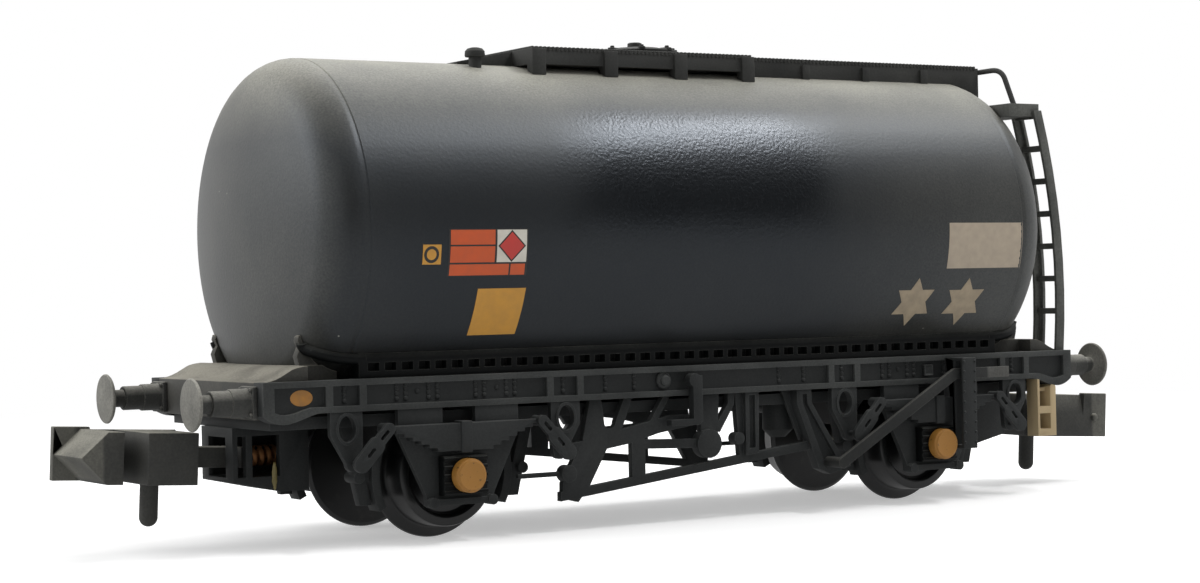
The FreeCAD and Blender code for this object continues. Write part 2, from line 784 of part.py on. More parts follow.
def make_wheelsets():
    corners = [V(0, y, radius) for y, radius in wheel_outline()]
    face = Part.Face(Part.makePolygon(corners + corners[:1]))
    wheel = face.revolve(ORIGIN, ACROSS, 360)
    half = axle_length / 2
    shoulder = back_to_back / 2 + tyre_width
    point = journal_radius / 2
    outline = [(-half, 0), (-half, point), (-half + point, journal_radius), (-shoulder, journal_radius),
               (-shoulder, axle_radius), (shoulder, axle_radius), (shoulder, journal_radius),
               (half - point, journal_radius), (half, point), (half, 0)]
    corners = [V(0, y, radius) for y, radius in outline]
    axle = Part.Face(Part.makePolygon(corners + corners[:1])).revolve(ORIGIN, ACROSS, 360)
    for name, end in ENDS.items():
        x = end * axle_x
        save("axle_" + name, moved(axle, x=x, z=axle_z))
        for side_name, side in SIDES.items():
            save("wheel_" + name + side_name, moved(mirrored_side(wheel, side), x=x, z=axle_z))


def axleguard_plate_outline():
    """The guard's outline round its axle, from the solebar down to its foot."""
    top = solebar_bottom - axle_z
    right = [(axleguard_top_width / 2, top), (axleguard_waist_width / 2, axleguard_waist_rise),
             (axleguard_foot_width / 2, axleguard_foot_rise), (axleguard_foot_width / 2, -axleguard_drop)]
    return right + [(-x, z) for x, z in reversed(right)]


def spring_bracket(direction):
    """A tapered hanger with a ringed oval hole, outboard of the spring's eye."""
    top = solebar_bottom - axle_z
    centre = bracket_offset
    half = bracket_width / 2
    points = [(centre - half, top), (centre + half, top), (centre + half, ring_rise - ring_half_height / 2),
              (bracket_pin_offset + bracket_foot_radius, bracket_pin_rise),
              (bracket_pin_offset - bracket_foot_radius, bracket_pin_rise),
              (centre - half, ring_rise - ring_half_height)]
    points = [(direction * x, z) for x, z in points]
    inner = axleguard_face - axleguard_plate
    plate = side_prism(points, (inner, axleguard_face))
    pin_x = direction * bracket_pin_offset
    foot = drum_across(pin_x, bracket_pin_rise, (inner, axleguard_face), bracket_foot_radius)
    ring_y = (inner, axleguard_face + ring_stand_out)
    ring = oval(direction * centre, ring_rise, ring_half_width + ring_wall, ring_half_height + ring_wall, ring_y)
    hole = oval(direction * centre, ring_rise, ring_half_width, ring_half_height,
                (inner - overrun, axleguard_face + overrun))
    return joined([plate, foot, ring]).cut(hole)


def oval(x, z, half_width, half_height, y):
    """An upright oval prism across the wagon."""
    ellipse = Part.Ellipse(V(x, y[0], z + half_height), V(x + half_width, y[0], z), V(x, y[0], z))
    face = Part.Face(Part.Wire(ellipse.toShape()))
    return face.extrude(V(0, y[1] - y[0], 0))


def make_axleguards():
    """Guard plate with crown window and tie bar, and the two spring brackets beside it."""
    inner = axleguard_face - axleguard_plate
    plate = side_prism(axleguard_plate_outline(), (inner, axleguard_face))
    top = solebar_bottom - axle_z
    window = block(both_ways(crown_window_width / 2), (inner - overrun, axleguard_face + overrun),
                   (top - crown_window_height, top))
    tie_bar = block(both_ways(axleguard_foot_width / 2), (inner, axleguard_face + tie_bar_depth),
                    (-axleguard_drop, -axleguard_drop + tie_bar_height))
    nut_x = axleguard_foot_width / 2 - tie_nut_radius
    nut_y = (inner, axleguard_face + tie_bar_depth + tie_nut_stand_out)
    nuts = [drum_across(side * nut_x, -axleguard_drop + tie_bar_height / 2, nut_y, tie_nut_radius)
            for side in (-1, 1)]
    bore = drum_across(0, 0, (inner - overrun, axleguard_face + overrun),
                       journal_radius + bearing_clearance)
    guard = joined([plate.cut(window), tie_bar] + nuts).cut(bore)
    shape = group([guard, spring_bracket(1), spring_bracket(-1)])
    box = axlebox()
    for end_name, end in ENDS.items():
        for side_name, side in SIDES.items():
            place = dict(x=end * axle_x, z=axle_z)
            save("axleguard_" + end_name + side_name, moved(mirrored_side(shape, side), **place))
            save("axlebox_" + end_name + side_name, moved(mirrored_side(box, side), **place))


def axlebox():
    """Ribbed bearing block on the guard's face, bored blind for the axle's journal."""
    body = block(both_ways(axlebox_width / 2), (axleguard_face, axlebox_front), both_ways(axlebox_height / 2))
    ribs = []
    for index in range(box_rib_count):
        middle = (index - (box_rib_count - 1) / 2) * box_rib_pitch
        ribs.append(block(both_ways(axlebox_width / 2), (axlebox_front, axlebox_front + box_rib_stand_out),
                          around(middle, box_rib)))
    seat = drum_across(0, 0, (axlebox_front, axlebox_front + overrun), cap_radius)
    bore_end = axle_length / 2 + axle_end_play
    bore = drum_across(0, 0, (axleguard_face - overrun, bore_end), journal_radius + bearing_clearance)
    return joined([body] + [rib.cut(seat) for rib in ribs]).cut(bore)


def make_caps():
    tip = axlebox_front + cap_depth
    drum = drum_across(0, 0, (axlebox_front, tip - cap_bevel), cap_radius)
    nose = Part.makeCone(cap_radius, cap_radius - cap_bevel, cap_bevel, V(0, tip - cap_bevel, 0), ACROSS)
    cap = joined([drum, nose])
    for side_name, side in SIDES.items():
        caps = [moved(mirrored_side(cap, side), x=end * axle_x, z=axle_z) for end in ENDS.values()]
        save("axlebox_caps_" + side_name, group(caps))


def leaf_spring():
    """Stacked leaves, shorter towards the bottom, with eyes, and the buckle at the middle."""
    y = (axleguard_face, axleguard_face + spring_leaf_width)
    leaves = []
    for index in range(spring_leaf_count):
        share = index / (spring_leaf_count - 1)
        half = spring_half_span * (1 - share * (1 - spring_short_share))
        high = spring_top_rise - index * spring_leaf_thickness
        leaves.append(block(both_ways(half), y, (high - spring_leaf_thickness, high)))
    middle = spring_top_rise - spring_leaf_thickness / 2
    for side in (-1, 1):
        leaves.append(drum_across(side * spring_half_span, middle, y, spring_eye_radius))
    depth = spring_leaf_count * spring_leaf_thickness
    buckle = block(both_ways(buckle_width / 2), (y[0], y[1] + buckle_stand_out),
                   (spring_top_rise - depth - spring_leaf_thickness / 2,
                    spring_top_rise + spring_leaf_thickness / 2))
    return joined(leaves + [buckle])


def swing_link(direction):
    """Two slotted shackles in a chain, from a spring's eye down and out to its bracket's pin."""
    start = (spring_half_span, spring_top_rise - spring_leaf_thickness / 2)
    end = (bracket_pin_offset, bracket_pin_rise)

    def at(share):
        return (direction * (start[0] + share * (end[0] - start[0])), start[1] + share * (end[1] - start[1]))

    low = axleguard_face + spring_leaf_width
    y = (low, low + link_thickness)
    through = (low - overrun, low + overrun)
    upper = rounded_bar(at(0), at(upper_link_share), link_width, y)
    lower = rounded_bar(at(lower_link_share), at(1), link_foot_width, y)
    slots = [rounded_bar(at(shares[0]), at(shares[1]), link_slot, through)
             for shares in (upper_slot_shares, lower_slot_shares)]
    foot = at(1)
    pin = drum_across(foot[0], foot[1], (axleguard_face, low), link_width / 4)
    return joined([upper, lower]).cut(Part.makeCompound(slots)).fuse(pin).removeSplitter()


def make_springs():
    spring = leaf_spring()
    links = [swing_link(1), swing_link(-1)]
    for side_name, side in SIDES.items():
        springs = []
        all_links = []
        for end in ENDS.values():
            place = dict(x=end * axle_x, z=axle_z)
            springs.append(moved(mirrored_side(spring, side), **place))
            all_links += [moved(mirrored_side(link, side), **place) for link in links]
        save("leaf_springs_" + side_name, group(springs))
        save("swing_links_" + side_name, group(all_links))


def gear_point(share):
    """A point of the brake gear's side view, in millimetres."""
    along, rise = share
    return (-gear_left + along * (gear_left + gear_right), gear_floor + rise * (solebar_bottom - gear_floor))


def gear_plate(shares, y):
    return side_prism([gear_point(share) for share in shares], y)


def gear_drum(share, y, radius):
    x, z = gear_point(share)
    return drum_across(x, z, y, radius)


def make_brake_linkage():
    """The brake shaft's hangers, bars and channels below the solebar, drawn for the -Y side."""
    back = -brake_plane + brake_plate
    y = (-brake_plane, back)
    proud = (-brake_plane - gear_flange_stand_out, back)
    through = (-brake_plane - overrun, back + overrun)
    half_deep = (-brake_plane - overrun, -brake_plane)
    v_hanger = gear_plate(v_hanger_shares, y).cut(gear_plate(v_cut_shares, through))
    v_hanger = v_hanger.cut(gear_drum(v_cut_end_share, through, v_cut_radius))
    channel = gear_plate(channel_post_shares, proud).cut(gear_plate(channel_post_cut_shares, half_deep))
    rear = gear_plate(rear_channel_shares, proud).cut(gear_plate(rear_channel_cut_shares, half_deep))
    flat = [gear_plate(shares, y) for shares in (
        hanger_plate_shares, upper_bar_shares, lower_bar_shares, slant_strut_shares, drop_strut_shares,
        push_rod_shares, shaft_post_shares, slant_leg_shares, knob_bar_shares)]
    round_parts = [gear_drum(hanger_boss_share, proud, hanger_boss_radius),
                   gear_drum(shaft_boss_share, proud, shaft_boss_radius), gear_drum(knob_share, proud, knob_radius)]
    back_strut = gear_plate(back_strut_shares, (back, back + brake_plate / 2))
    boss_x, boss_z = gear_point(hanger_boss_share)
    rod = drum_along(back - brake_plate / 2, boss_z, (boss_x - brake_rod_length, boss_x), brake_rod_radius)
    strap_y = (-solebar_face - strap_stand_out, -solebar_face)
    strap = gear_plate(gear_strap_shares, strap_y)
    knob = gear_drum(gear_strap_knob_share, strap_y, strap_knob_radius)
    elbow_x, elbow_z = gear_point(gear_strap_elbow_share)
    elbow = block((elbow_x, elbow_x + strap_knob_radius), (strap_y[0], back), (elbow_z, elbow_z + brake_plate))
    linkage = joined(flat + round_parts + [v_hanger, channel, rear, back_strut, rod, strap, knob, elbow])
    for name, side in SIDES.items():
        save("brake_linkage_" + name, turned_side(linkage, side))


def make_levers():
    """Hand brake lever in front of the springs, and the upright guard it passes through."""
    y = (-lever_plane, -lever_plane + lever_thickness)
    pivot_x = axle_x - lever_pivot_inboard
    knee_x = axle_x + lever_knee_outboard
    knee_z = deck_z - lever_knee_below_deck
    arm = bar_between((pivot_x, lever_pivot_height), (knee_x, knee_z), lever_depth, y)
    knee = drum_across(knee_x, knee_z, y, lever_depth / 2)
    handle = block((knee_x, axle_x + lever_tip_outboard), y, around(knee_z, lever_depth))
    heel = drum_across(pivot_x, lever_pivot_height, (-lever_plane, -brake_plane - gear_flange_stand_out),
                       lever_pin_radius)
    guard_x = axle_x + guard_outboard
    lever = joined([arm, knee, handle, heel])
    top = deck_z - solebar_flange / 2
    far = -lever_plane - (guard_gap - lever_thickness) / 2
    outer = block(around(guard_x, guard_width), (far - guard_plate, far), (guard_foot, top))
    near = far + guard_gap
    inner = block(around(guard_x, guard_width), (near, near + guard_plate), (guard_foot, top))
    head = block(around(guard_x, guard_width), (far - guard_plate, -solebar_face),
                 (top - guard_plate, top))
    foot = block(around(guard_x, guard_width), (far - guard_plate, near + guard_plate),
                 (guard_foot, guard_foot + guard_plate))
    guard = joined([outer, inner, head, foot])
    for name, side in SIDES.items():
        save("brake_lever_" + name, turned_side(lever, side))
    save("lever_guards", group([turned_side(guard, side) for side in SIDES.values()]))


def make_brake_cylinder():
    """Upright brake cylinder with a domed foot, and the pipe from it towards the middle."""
    top = floor_z - floor_thickness
    middle = V(brake_cylinder_x, -brake_cylinder_y, top - brake_cylinder_drop + brake_cylinder_radius / 2)
    body = Part.makeCylinder(brake_cylinder_radius, top - middle.z, middle)
    dome = Part.makeCone(brake_cylinder_radius / 2, brake_cylinder_radius, brake_cylinder_radius / 2,
                         V(middle.x, middle.y, middle.z - brake_cylinder_radius / 2))
    pipe_z = top - brake_cylinder_pipe
    pipe = Part.makeCylinder(brake_cylinder_pipe, brake_cylinder_y, V(brake_cylinder_x, -brake_cylinder_y, pipe_z),
                             ACROSS)
    save("brake_cylinder", joined([body, dome, pipe]))


def brake_block():
    """A curved block on a leaning hanger, on the inboard side of a wheel at +X."""
    inner_radius = flange_radius + block_gap
    outer_radius = inner_radius + block_thickness
    middle = back_to_back / 2 + tyre_width / 2
    y = around(middle, block_width)
    ring = drum_across(0, 0, y, outer_radius).cut(drum_across(0, 0, y, inner_radius))
    spread = math.radians(block_spread_degrees)
    reach = outer_radius * 2
    wedge = side_prism([(0, 0), (-reach * math.cos(spread), reach * math.sin(spread)),
                        (-reach * math.cos(spread), -reach * math.sin(spread))], y)
    shoe = ring.common(wedge)
    top = floor_z - floor_thickness - axle_z
    foot = -inner_radius - block_hanger_foot
    head = -inner_radius - block_hanger_head
    hanger = side_prism([(foot, -block_hanger_drop), (foot + block_hanger_depth, -block_hanger_drop),
                         (head + block_hanger_depth, top), (head, top)], around(middle, block_hanger_width))
    lug = block((foot, -inner_radius - block_thickness / 2), around(middle, block_hanger_width),
                around(0, block_lug_height))
    pin = drum_across(foot - block_pin_radius / 2, 0, y, block_pin_radius)
    return joined([shoe, lug, pin, hanger.cut(drum_across(0, 0, y, inner_radius))])


def make_brake_blocks():
    """Two blocks on each wheel, one ahead of it and one behind."""
    shoe = brake_block()
    for name, end in ENDS.items():
        blocks = []
        for facing in (shoe, shoe.mirror(ORIGIN, ALONG)):
            for side in SIDES.values():
                placed = mirrored_end(moved(facing, x=axle_x, z=axle_z), end)
                blocks.append(mirrored_side(placed, side))
        save("brake_blocks_" + name, group(blocks))


def make_footsteps(solebar):
    """Open two-rung step below the solebar, with one upright that stops short of it."""
    x = around(headstock_face - step_from_headstock_face, step_width)
    y = (-solebar_face, -solebar_face + step_depth)
    top = solebar_bottom
    left = block((x[0], x[0] + step_left_wall), y, (step_bottom, top))
    right_x = (x[1] - step_right_wall, x[1])
    short = top - step_short_post
    right = block(right_x, y, (step_bottom, short))
    cap = drum_across(sum(right_x) / 2, short, y, step_right_wall / 2)
    rung_z = step_bottom + (top - step_bottom) * step_rung_share
    rungs = [block(x, y, (step_bottom, step_bottom + step_rung)), block(x, y, around(rung_z, step_rung)),
             block((x[0], right_x[0]), (y[0] + step_depth / 2, y[1]), (short - step_rung / 2, short))]
    save("footstep", joined([left, right, cap] + rungs).cut(mirrored_side(solebar, -1)))


def make_pockets():
    """Open-mouthed coupler pockets under the floor, windowed on one side, each with a coil spring."""
    back = pocket_front - pocket_length
    top = floor_z - floor_thickness
    floor_top = pocket_bottom + pocket_floor
    body = side_prism([(back, pocket_bottom), (pocket_front - pocket_slope_length, pocket_bottom),
                       (pocket_front, pocket_bottom + pocket_front_rise), (pocket_front, top), (back, top)],
                      both_ways(pocket_width / 2))
    cavity = block((back + pocket_wall, pocket_front - pocket_lip),
                   both_ways(pocket_width / 2 - pocket_wall), (floor_top, top - pocket_wall))
    mouth = block((back + pocket_wall, pocket_front + overrun), both_ways(pocket_mouth / 2),
                  (floor_top, top - pocket_wall))
    slot_end = pocket_front - pocket_lip
    post_end = slot_end - pocket_slot_length
    window_end = post_end - pocket_post
    through = (pocket_mouth / 2, pocket_width / 2 + overrun)
    tall = (floor_top, floor_top + pocket_window_height)
    slot = block((post_end, slot_end), through, tall)
    window = block((window_end - pocket_window_length, window_end), through, tall)
    pocket = body.cut(Part.makeCompound([cavity, mouth])).cut(Part.makeCompound([slot, window]))
    coil_start = back + pocket_wall
    coil_end = coupler_pivot_x - tail_bar_depth
    coil = Part.makeCylinder(coil_radius, coil_end - coil_start, V(coil_start, 0, coupler_pivot_z), ALONG)
    for name, end in ENDS.items():
        save("coupler_pocket_" + name, turned_side(pocket, -end))
        save("coupler_spring_" + name, mirrored_end(coil, end))


def coupler():
    """Hooked head, shank and cross tail, drawn from its pivot outwards along +X."""
    half_height = head_height / 2
    tip = coupler_reach
    block_back = tip - wall_step_length / 2 - beak_length - head_slot - head_block_length
    apex = tip - wall_step / 2
    half = head_width / 2
    wall = block((block_back, tip), (-half, -half + head_wall), both_ways(half_height))
    raised = block((tip - wall_step_length, tip), (-half, -half + head_wall),
                   (-half_height, half_height + wall_step))
    beak_y = (-half + head_wall, -half + head_wall + beak_width)
    beak_back = apex - beak_length
    beak = side_prism([(apex, 0), (apex - beak_bevel, half_height), (beak_back, half_height),
                       (beak_back, -half_height), (apex - beak_bevel, -half_height)], beak_y)
    cheek_front = beak_back - head_slot
    cheek_back = block_back + head_block_short
    cheek = block((cheek_back, cheek_front), both_ways(half), both_ways(half_height))
    shank = block((0, cheek_back + head_wall), both_ways(shank_width / 2), both_ways(shank_height / 2))
    tail = block(both_ways(tail_bar_depth / 2), both_ways(tail_bar_length / 2), both_ways(shank_height / 2))
    pin_x = coupler_reach - drop_pin_back
    pin_low = -half_height - drop_pin_length + drop_pin_radius
    pin = Part.makeCylinder(drop_pin_radius, -pin_low, V(pin_x, 0, pin_low))
    pin_tip = Part.makeSphere(drop_pin_radius, V(pin_x, 0, pin_low))
    head = joined([wall, raised, beak, cheek, shank, tail, pin, pin_tip])
    bevel = end_prism([(-half, 0), (-half + wall_bevel, half_height), (-half, half_height)],
                      (block_back - overrun, tip - wall_step_length))
    return head.cut(bevel)


def make_couplers():
    """Both couplers, one nose up and one nose down in their pockets, as they rest."""
    shape = coupler()
    pivot = V(coupler_pivot_x, 0, coupler_pivot_z)
    for name, end in ENDS.items():
        tilted = shape.rotated(ORIGIN, ACROSS, end * coupler_tilt)
        placed = tilted.translated(pivot)
        if end < 0:
            placed = placed.rotated(ORIGIN, UP, HALF_TURN)
        save("coupler_" + name, placed)


def main():
    os.makedirs("parts", exist_ok=True)
    tank = tank_body()
    make_tank()
    saddle = make_saddles(tank)
    make_cradles(tank, saddle)
    make_walkway(tank)
    make_platform(tank)
    make_manhole(tank)
    make_ladder(tank, saddle)
    make_floor()
    solebar = make_solebars()
    make_headstocks(tank)
    make_buffers()
    make_wheelsets()
    make_axleguards()
    make_caps()
    make_springs()
    make_brake_linkage()
    make_levers()
    make_brake_cylinder()
    make_brake_blocks()
    make_footsteps(solebar)
    make_pockets()
    make_couplers()


main()
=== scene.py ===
# %% [markdown]
# A weathered two-axle tank wagon in N scale, about 67 mm long, built as the model it is.
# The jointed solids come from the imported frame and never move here. This lesson dresses them: it
# turns the round pieces smooth, rounds the edges that a mould leaves round, adds the small pieces that
# the solids leave out, and gives each surface the finish of the real one, from satin black to dust.
# Blender works in metres, so sizes are written in millimetres and multiplied by mm. The last letters
# of a piece's name say where it is, and ENDS and SIDES turn them into directions along X and Y.

# %% Load the frame
import json
import math
from functools import partial

import bpy
from mathutils import Matrix, Vector

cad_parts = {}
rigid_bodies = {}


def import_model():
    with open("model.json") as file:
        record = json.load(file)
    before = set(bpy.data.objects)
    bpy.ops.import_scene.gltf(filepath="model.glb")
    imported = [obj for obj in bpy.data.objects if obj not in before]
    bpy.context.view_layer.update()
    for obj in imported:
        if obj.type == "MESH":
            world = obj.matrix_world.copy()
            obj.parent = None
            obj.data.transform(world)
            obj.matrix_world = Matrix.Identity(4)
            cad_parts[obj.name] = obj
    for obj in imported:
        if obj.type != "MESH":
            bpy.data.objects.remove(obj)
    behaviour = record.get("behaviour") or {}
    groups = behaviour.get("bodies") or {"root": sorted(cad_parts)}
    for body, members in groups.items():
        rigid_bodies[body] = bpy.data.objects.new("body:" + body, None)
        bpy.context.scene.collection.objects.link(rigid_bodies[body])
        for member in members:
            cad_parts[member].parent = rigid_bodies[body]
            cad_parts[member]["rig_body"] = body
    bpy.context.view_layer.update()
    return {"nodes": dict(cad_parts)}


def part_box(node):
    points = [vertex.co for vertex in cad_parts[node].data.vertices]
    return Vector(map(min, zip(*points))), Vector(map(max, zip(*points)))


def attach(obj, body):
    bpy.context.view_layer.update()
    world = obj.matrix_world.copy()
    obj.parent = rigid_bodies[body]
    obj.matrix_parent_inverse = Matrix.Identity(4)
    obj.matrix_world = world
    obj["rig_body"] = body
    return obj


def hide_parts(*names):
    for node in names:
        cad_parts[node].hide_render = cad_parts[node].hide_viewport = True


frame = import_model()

mm = 0.001
ENDS = {"a": -1, "b": 1}
SIDES = {"l": 1, "r": -1}

# %% [markdown]
# The camera comes first, because every later choice is judged through it. The photograph was taken
# from just above the deck, about 135 mm away, to the left of the near side. The place and the
# lens were worked out from the wheelbase and from the tank's round end, so the picture's two
# vanishing points fall where the real ones do. The camera leans by about one degree.

# %% The camera
def add_object(name, data):
    item = bpy.data.objects.new(name, data)
    bpy.context.scene.collection.objects.link(item)
    return item


def stand_camera():
    place = Vector((-72.79, -113.31, 12.41)) * mm
    yaw, pitch, lean = 0.5561, 0.001, -0.0216
    right = Vector((math.cos(yaw), -math.sin(yaw), 0))
    ahead = Vector((math.sin(yaw) * math.cos(pitch), math.cos(yaw) * math.cos(pitch), math.sin(pitch)))
    up = right.cross(ahead)
    tilted_right = right * math.cos(lean) + up * math.sin(lean)
    tilted_up = up * math.cos(lean) - right * math.sin(lean)
    turn = Matrix((tilted_right, tilted_up, -ahead)).transposed()
    data = bpy.data.cameras.new("photo_camera")
    data.sensor_width = 36
    data.lens = 71.19
    data.clip_start = 0.001
    camera = add_object("photo_camera", data)
    camera.matrix_world = Matrix.Translation(place) @ turn.to_4x4()
    bpy.context.scene.camera = camera
    return camera


camera = stand_camera()
print("Camera at", [round(value / mm, 1) for value in camera.location], "mm")

# %% [markdown]
# Colours are picked as sRGB hex values, the way a paint chart gives them, but a shader mixes light in
# linear values. One function turns the first into the second. One more adds a node with its settings
# and its links, so that each material below reads like a list of what lies on the surface. An input
# may be a number, a colour, a socket, or a whole node, which then gives its first live output.

# %% Colours and nodes
def colour(hex_text):
    parts = [int(hex_text[start:start + 2], 16) / 255 for start in (0, 2, 4)]
    linear = [part / 12.92 if part <= 0.04045 else ((part + 0.055) / 1.055) ** 2.4 for part in parts]
    return (*linear, 1)


def set_inputs(owner, node, inputs):
    for name, value in inputs.items():
        if isinstance(value, bpy.types.Node):
            value = next(output for output in value.outputs if output.enabled)
        if isinstance(value, bpy.types.NodeSocket):
            owner.node_tree.links.new(value, node.inputs[name])
        else:
            node.inputs[name].default_value = value


def add_node(owner, kind, inputs=None, **settings):
    node = owner.node_tree.nodes.new(kind)
    for name, value in settings.items():
        setattr(node, name, value)
    set_inputs(owner, node, inputs or {})
    return node


def start_material(name):
    material = bpy.data.materials.new(name)
    material.use_nodes = True
    add = partial(add_node, material)
    dress = partial(set_inputs, material, material.node_tree.nodes["Principled BSDF"])
    return material, add, dress, add("ShaderNodeTexCoord").outputs["Object"]


# %% [markdown]
# Most of the underframe is moulded ABS, airbrushed with thinned grime. Dust settles where a surface
# faces up and catches on the sharp edges, and it thins out in the recesses. So three masks make the
# finish: how far the surface faces up, an uneven patch pattern about 3 mm across, and a worn edge
# that the Bevel node finds by comparing the rounded normal with the true one.

# %% Where dust settles
def caught_dust(add, top_dust, edge_dust):
    facing = add("ShaderNodeNewGeometry").outputs["Normal"]
    upward = add("ShaderNodeSeparateXYZ", {"Vector": facing}).outputs["Z"]
    settled = add("ShaderNodeMapRange", {"Value": upward, "From Min": 0.2, "From Max": 1, "To Max": top_dust})
    rounded = add("ShaderNodeBevel", {"Radius": 0.07 * mm}, samples=4)
    same = add("ShaderNodeVectorMath", {0: rounded, 1: facing}, operation="DOT_PRODUCT")
    worn = add("ShaderNodeMapRange", {"Value": same, "From Min": 0.98, "From Max": 0.75, "To Max": edge_dust})
    return add("ShaderNodeMath", {0: settled, 1: worn}, operation="ADD")


# %% [markdown]
# A fine noise of about 0.1 mm gives the dry, slightly rough feel of the dust. Where the sprayer reached
# only what stands out, such as the solebar's ribs or the buffers' heads, more dust lies beyond a given
# distance from the middle. A dusty place is duller than the bare plastic.

# %% The weathered mouldings
def weathered_moulding(name, plastic, dust, roughness=0.62, top_dust=0.6, edge_dust=0.35, all_dust=0.15,
                       pale_beyond=(60, 0), pale_axis="X", shine=0.3):
    material, add, dress, place = start_material(name)
    # Beyond the given distance the finish turns paler: dust on most mouldings, and on the coupler's nose also
    # a painted highlight.
    start, gain = pale_beyond
    soft_edge = 0.08
    along = add("ShaderNodeSeparateXYZ", {"Vector": place}).outputs[pale_axis]
    outward = add("ShaderNodeMath", {0: along}, operation="ABSOLUTE")
    spread = add("ShaderNodeMapRange", {"Value": outward, "From Min": (start - soft_edge) * mm,
                                        "From Max": (start + soft_edge) * mm, "To Min": all_dust,
                                        "To Max": all_dust + gain})
    caught = caught_dust(add, top_dust, edge_dust)
    lying = add("ShaderNodeMath", {0: caught, 1: spread}, operation="ADD")
    patches = add("ShaderNodeTexNoise", {"Vector": place, "Scale": 1 / (3 * mm), "Detail": 4})
    uneven = add("ShaderNodeMapRange", {"Value": patches, "From Min": 0.3, "From Max": 0.7, "To Min": 0.55,
                                        "To Max": 1.25})
    amount = add("ShaderNodeMath", {0: lying, 1: uneven}, operation="MULTIPLY", use_clamp=True)
    grain = add("ShaderNodeTexNoise", {"Vector": place, "Scale": 1 / (0.12 * mm), "Detail": 2})
    speck = add("ShaderNodeMapRange", {"Value": grain, "From Min": 0.3, "From Max": 0.7, "To Min": 0.8,
                                       "To Max": 1.2})
    dusting = add("ShaderNodeMath", {0: amount, 1: speck}, operation="MULTIPLY", use_clamp=True)
    mix = add("ShaderNodeMix", {"Factor": dusting, "A": colour(plastic), "B": colour(dust)}, data_type="RGBA")
    dull = add("ShaderNodeMapRange", {"Value": dusting, "To Min": roughness, "To Max": 0.95})
    bump = add("ShaderNodeBump", {"Height": grain, "Strength": 0.25, "Distance": 0.02 * mm})
    dress({"Base Color": mix, "Roughness": dull, "Normal": bump, "Specular IOR Level": shine})
    return material


# %% [markdown]
# The same recipe serves ten finishes, because the real wagon was sprayed in one go: the deck caught
# the most dust, the axleboxes nearly none, and the ladder is evenly grey. The buffers' heads, the
# lever's tip and the solebar's flange stand out furthest, so those finishes turn pale with dust beyond a
# distance. The coupler's nose turns pale beyond a distance too, partly with dust and partly as a
# painted highlight on its lit front facet.

# %% Ten moulded finishes
underframe_grime = weathered_moulding("Moulded ABS, slate grime", "0f1213", "5f6160", top_dust=0.5,
                                      edge_dust=0.5, all_dust=0.15)
deck_dust = weathered_moulding("Moulded ABS, dusty deck", "1a1c1d", "a09c90", top_dust=0.95, edge_dust=0.4,
                               all_dust=0.12)
walkway_plastic = weathered_moulding("Moulded ABS, clean dark walkway", "0e1011", "62625e", top_dust=0.3,
                                     edge_dust=0.4, all_dust=0.24)
ladder_plastic = weathered_moulding("Moulded ABS, dusty ladder", "131516", "7c7d78", top_dust=0.3,
                                    edge_dust=0.4, all_dust=0.5)
# The coupler's nose beyond 32.3 mm turns pale: partly dust, partly a painted highlight on its lit front
# facet.
coupler_dust_and_highlight = weathered_moulding("Moulded acetal, grey dust", "1e2021", "96948a", all_dust=0.12,
                                     top_dust=0.95, edge_dust=0.35, pale_beyond=(32.3, 0.22))
head_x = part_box("buffer_br")[1].x / mm - 0.5
buffer_plastic = weathered_moulding("Moulded ABS, dusted buffer", "16191a", "b0aea5", all_dust=0.08,
                                    edge_dust=0.3, pale_beyond=(head_x, 0.34))
tan_step_plastic = weathered_moulding("Moulded ABS, bare tan step", "b5a17d", "d3c5a6", roughness=0.5,
                                      top_dust=0.2, edge_dust=0.3, all_dust=0.05)
lever_plastic = weathered_moulding("Moulded ABS, lever with a worn tip", "101314", "7d7c77", top_dust=0.5,
                                   edge_dust=0.4, all_dust=0.08, pale_beyond=(18.6, 0.4))
flange_y = abs(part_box("solebar_r")[0].y) / mm - 0.15
solebar_grime = weathered_moulding("Moulded ABS, dust on the solebar's ribs", "101314", "666866",
                                   top_dust=0.5, edge_dust=0.4, all_dust=0.09,
                                   pale_beyond=(flange_y, 0.22), pale_axis="Y")
clean_black = weathered_moulding("Moulded ABS, clean satin black", "07090a", "62635f", roughness=0.5,
                                 top_dust=0.35, edge_dust=0.45, all_dust=0.015, shine=0.12)
print("Dust turns pale beyond", round(head_x, 2), "mm on buffers and", round(flange_y, 2), "mm on solebars")

# %% [markdown]
# The tank is satin black paint over plastic, matt but for one patch at the middle, where fingers lift
# the wagon and have rubbed it to a gloss. The patch is a soft rectangle on the tank's side. A noise as
# wide as a fingertip's smear pushes its edges in and out, so that it doesn't look ruled.

# %% The patch that fingers polish
def distance_along(add, x, middle):
    shifted = add("ShaderNodeMath", {0: x, 1: -middle}, operation="ADD")
    return add("ShaderNodeMath", {0: shifted}, operation="ABSOLUTE")


def polished_patch(add, place, x, z):
    away = distance_along(add, x, -0.5 * mm)
    smears = add("ShaderNodeTexNoise", {"Vector": place, "Scale": 1 / (4 * mm), "Detail": 1})
    ragged = add("ShaderNodeMath", {0: smears, 1: 5 * mm, 2: away}, operation="MULTIPLY_ADD")
    handled = add("ShaderNodeMapRange", {"Value": ragged, "From Min": 13 * mm, "From Max": 7.8 * mm},
                  interpolation_type="SMOOTHSTEP")
    uneven = add("ShaderNodeMath", {0: smears, 1: -2 * mm, 2: z}, operation="MULTIPLY_ADD")
    above = add("ShaderNodeMapRange", {"Value": uneven, "From Min": 12.8 * mm, "From Max": 15.8 * mm},
                interpolation_type="SMOOTHSTEP")
    below = add("ShaderNodeMapRange", {"Value": z, "From Min": 23.2 * mm, "From Max": 21.2 * mm},
                interpolation_type="SMOOTHSTEP")
    height = add("ShaderNodeMath", {0: above, 1: below}, operation="MULTIPLY")
    return add("ShaderNodeMath", {0: handled, 1: height}, operation="MULTIPLY")
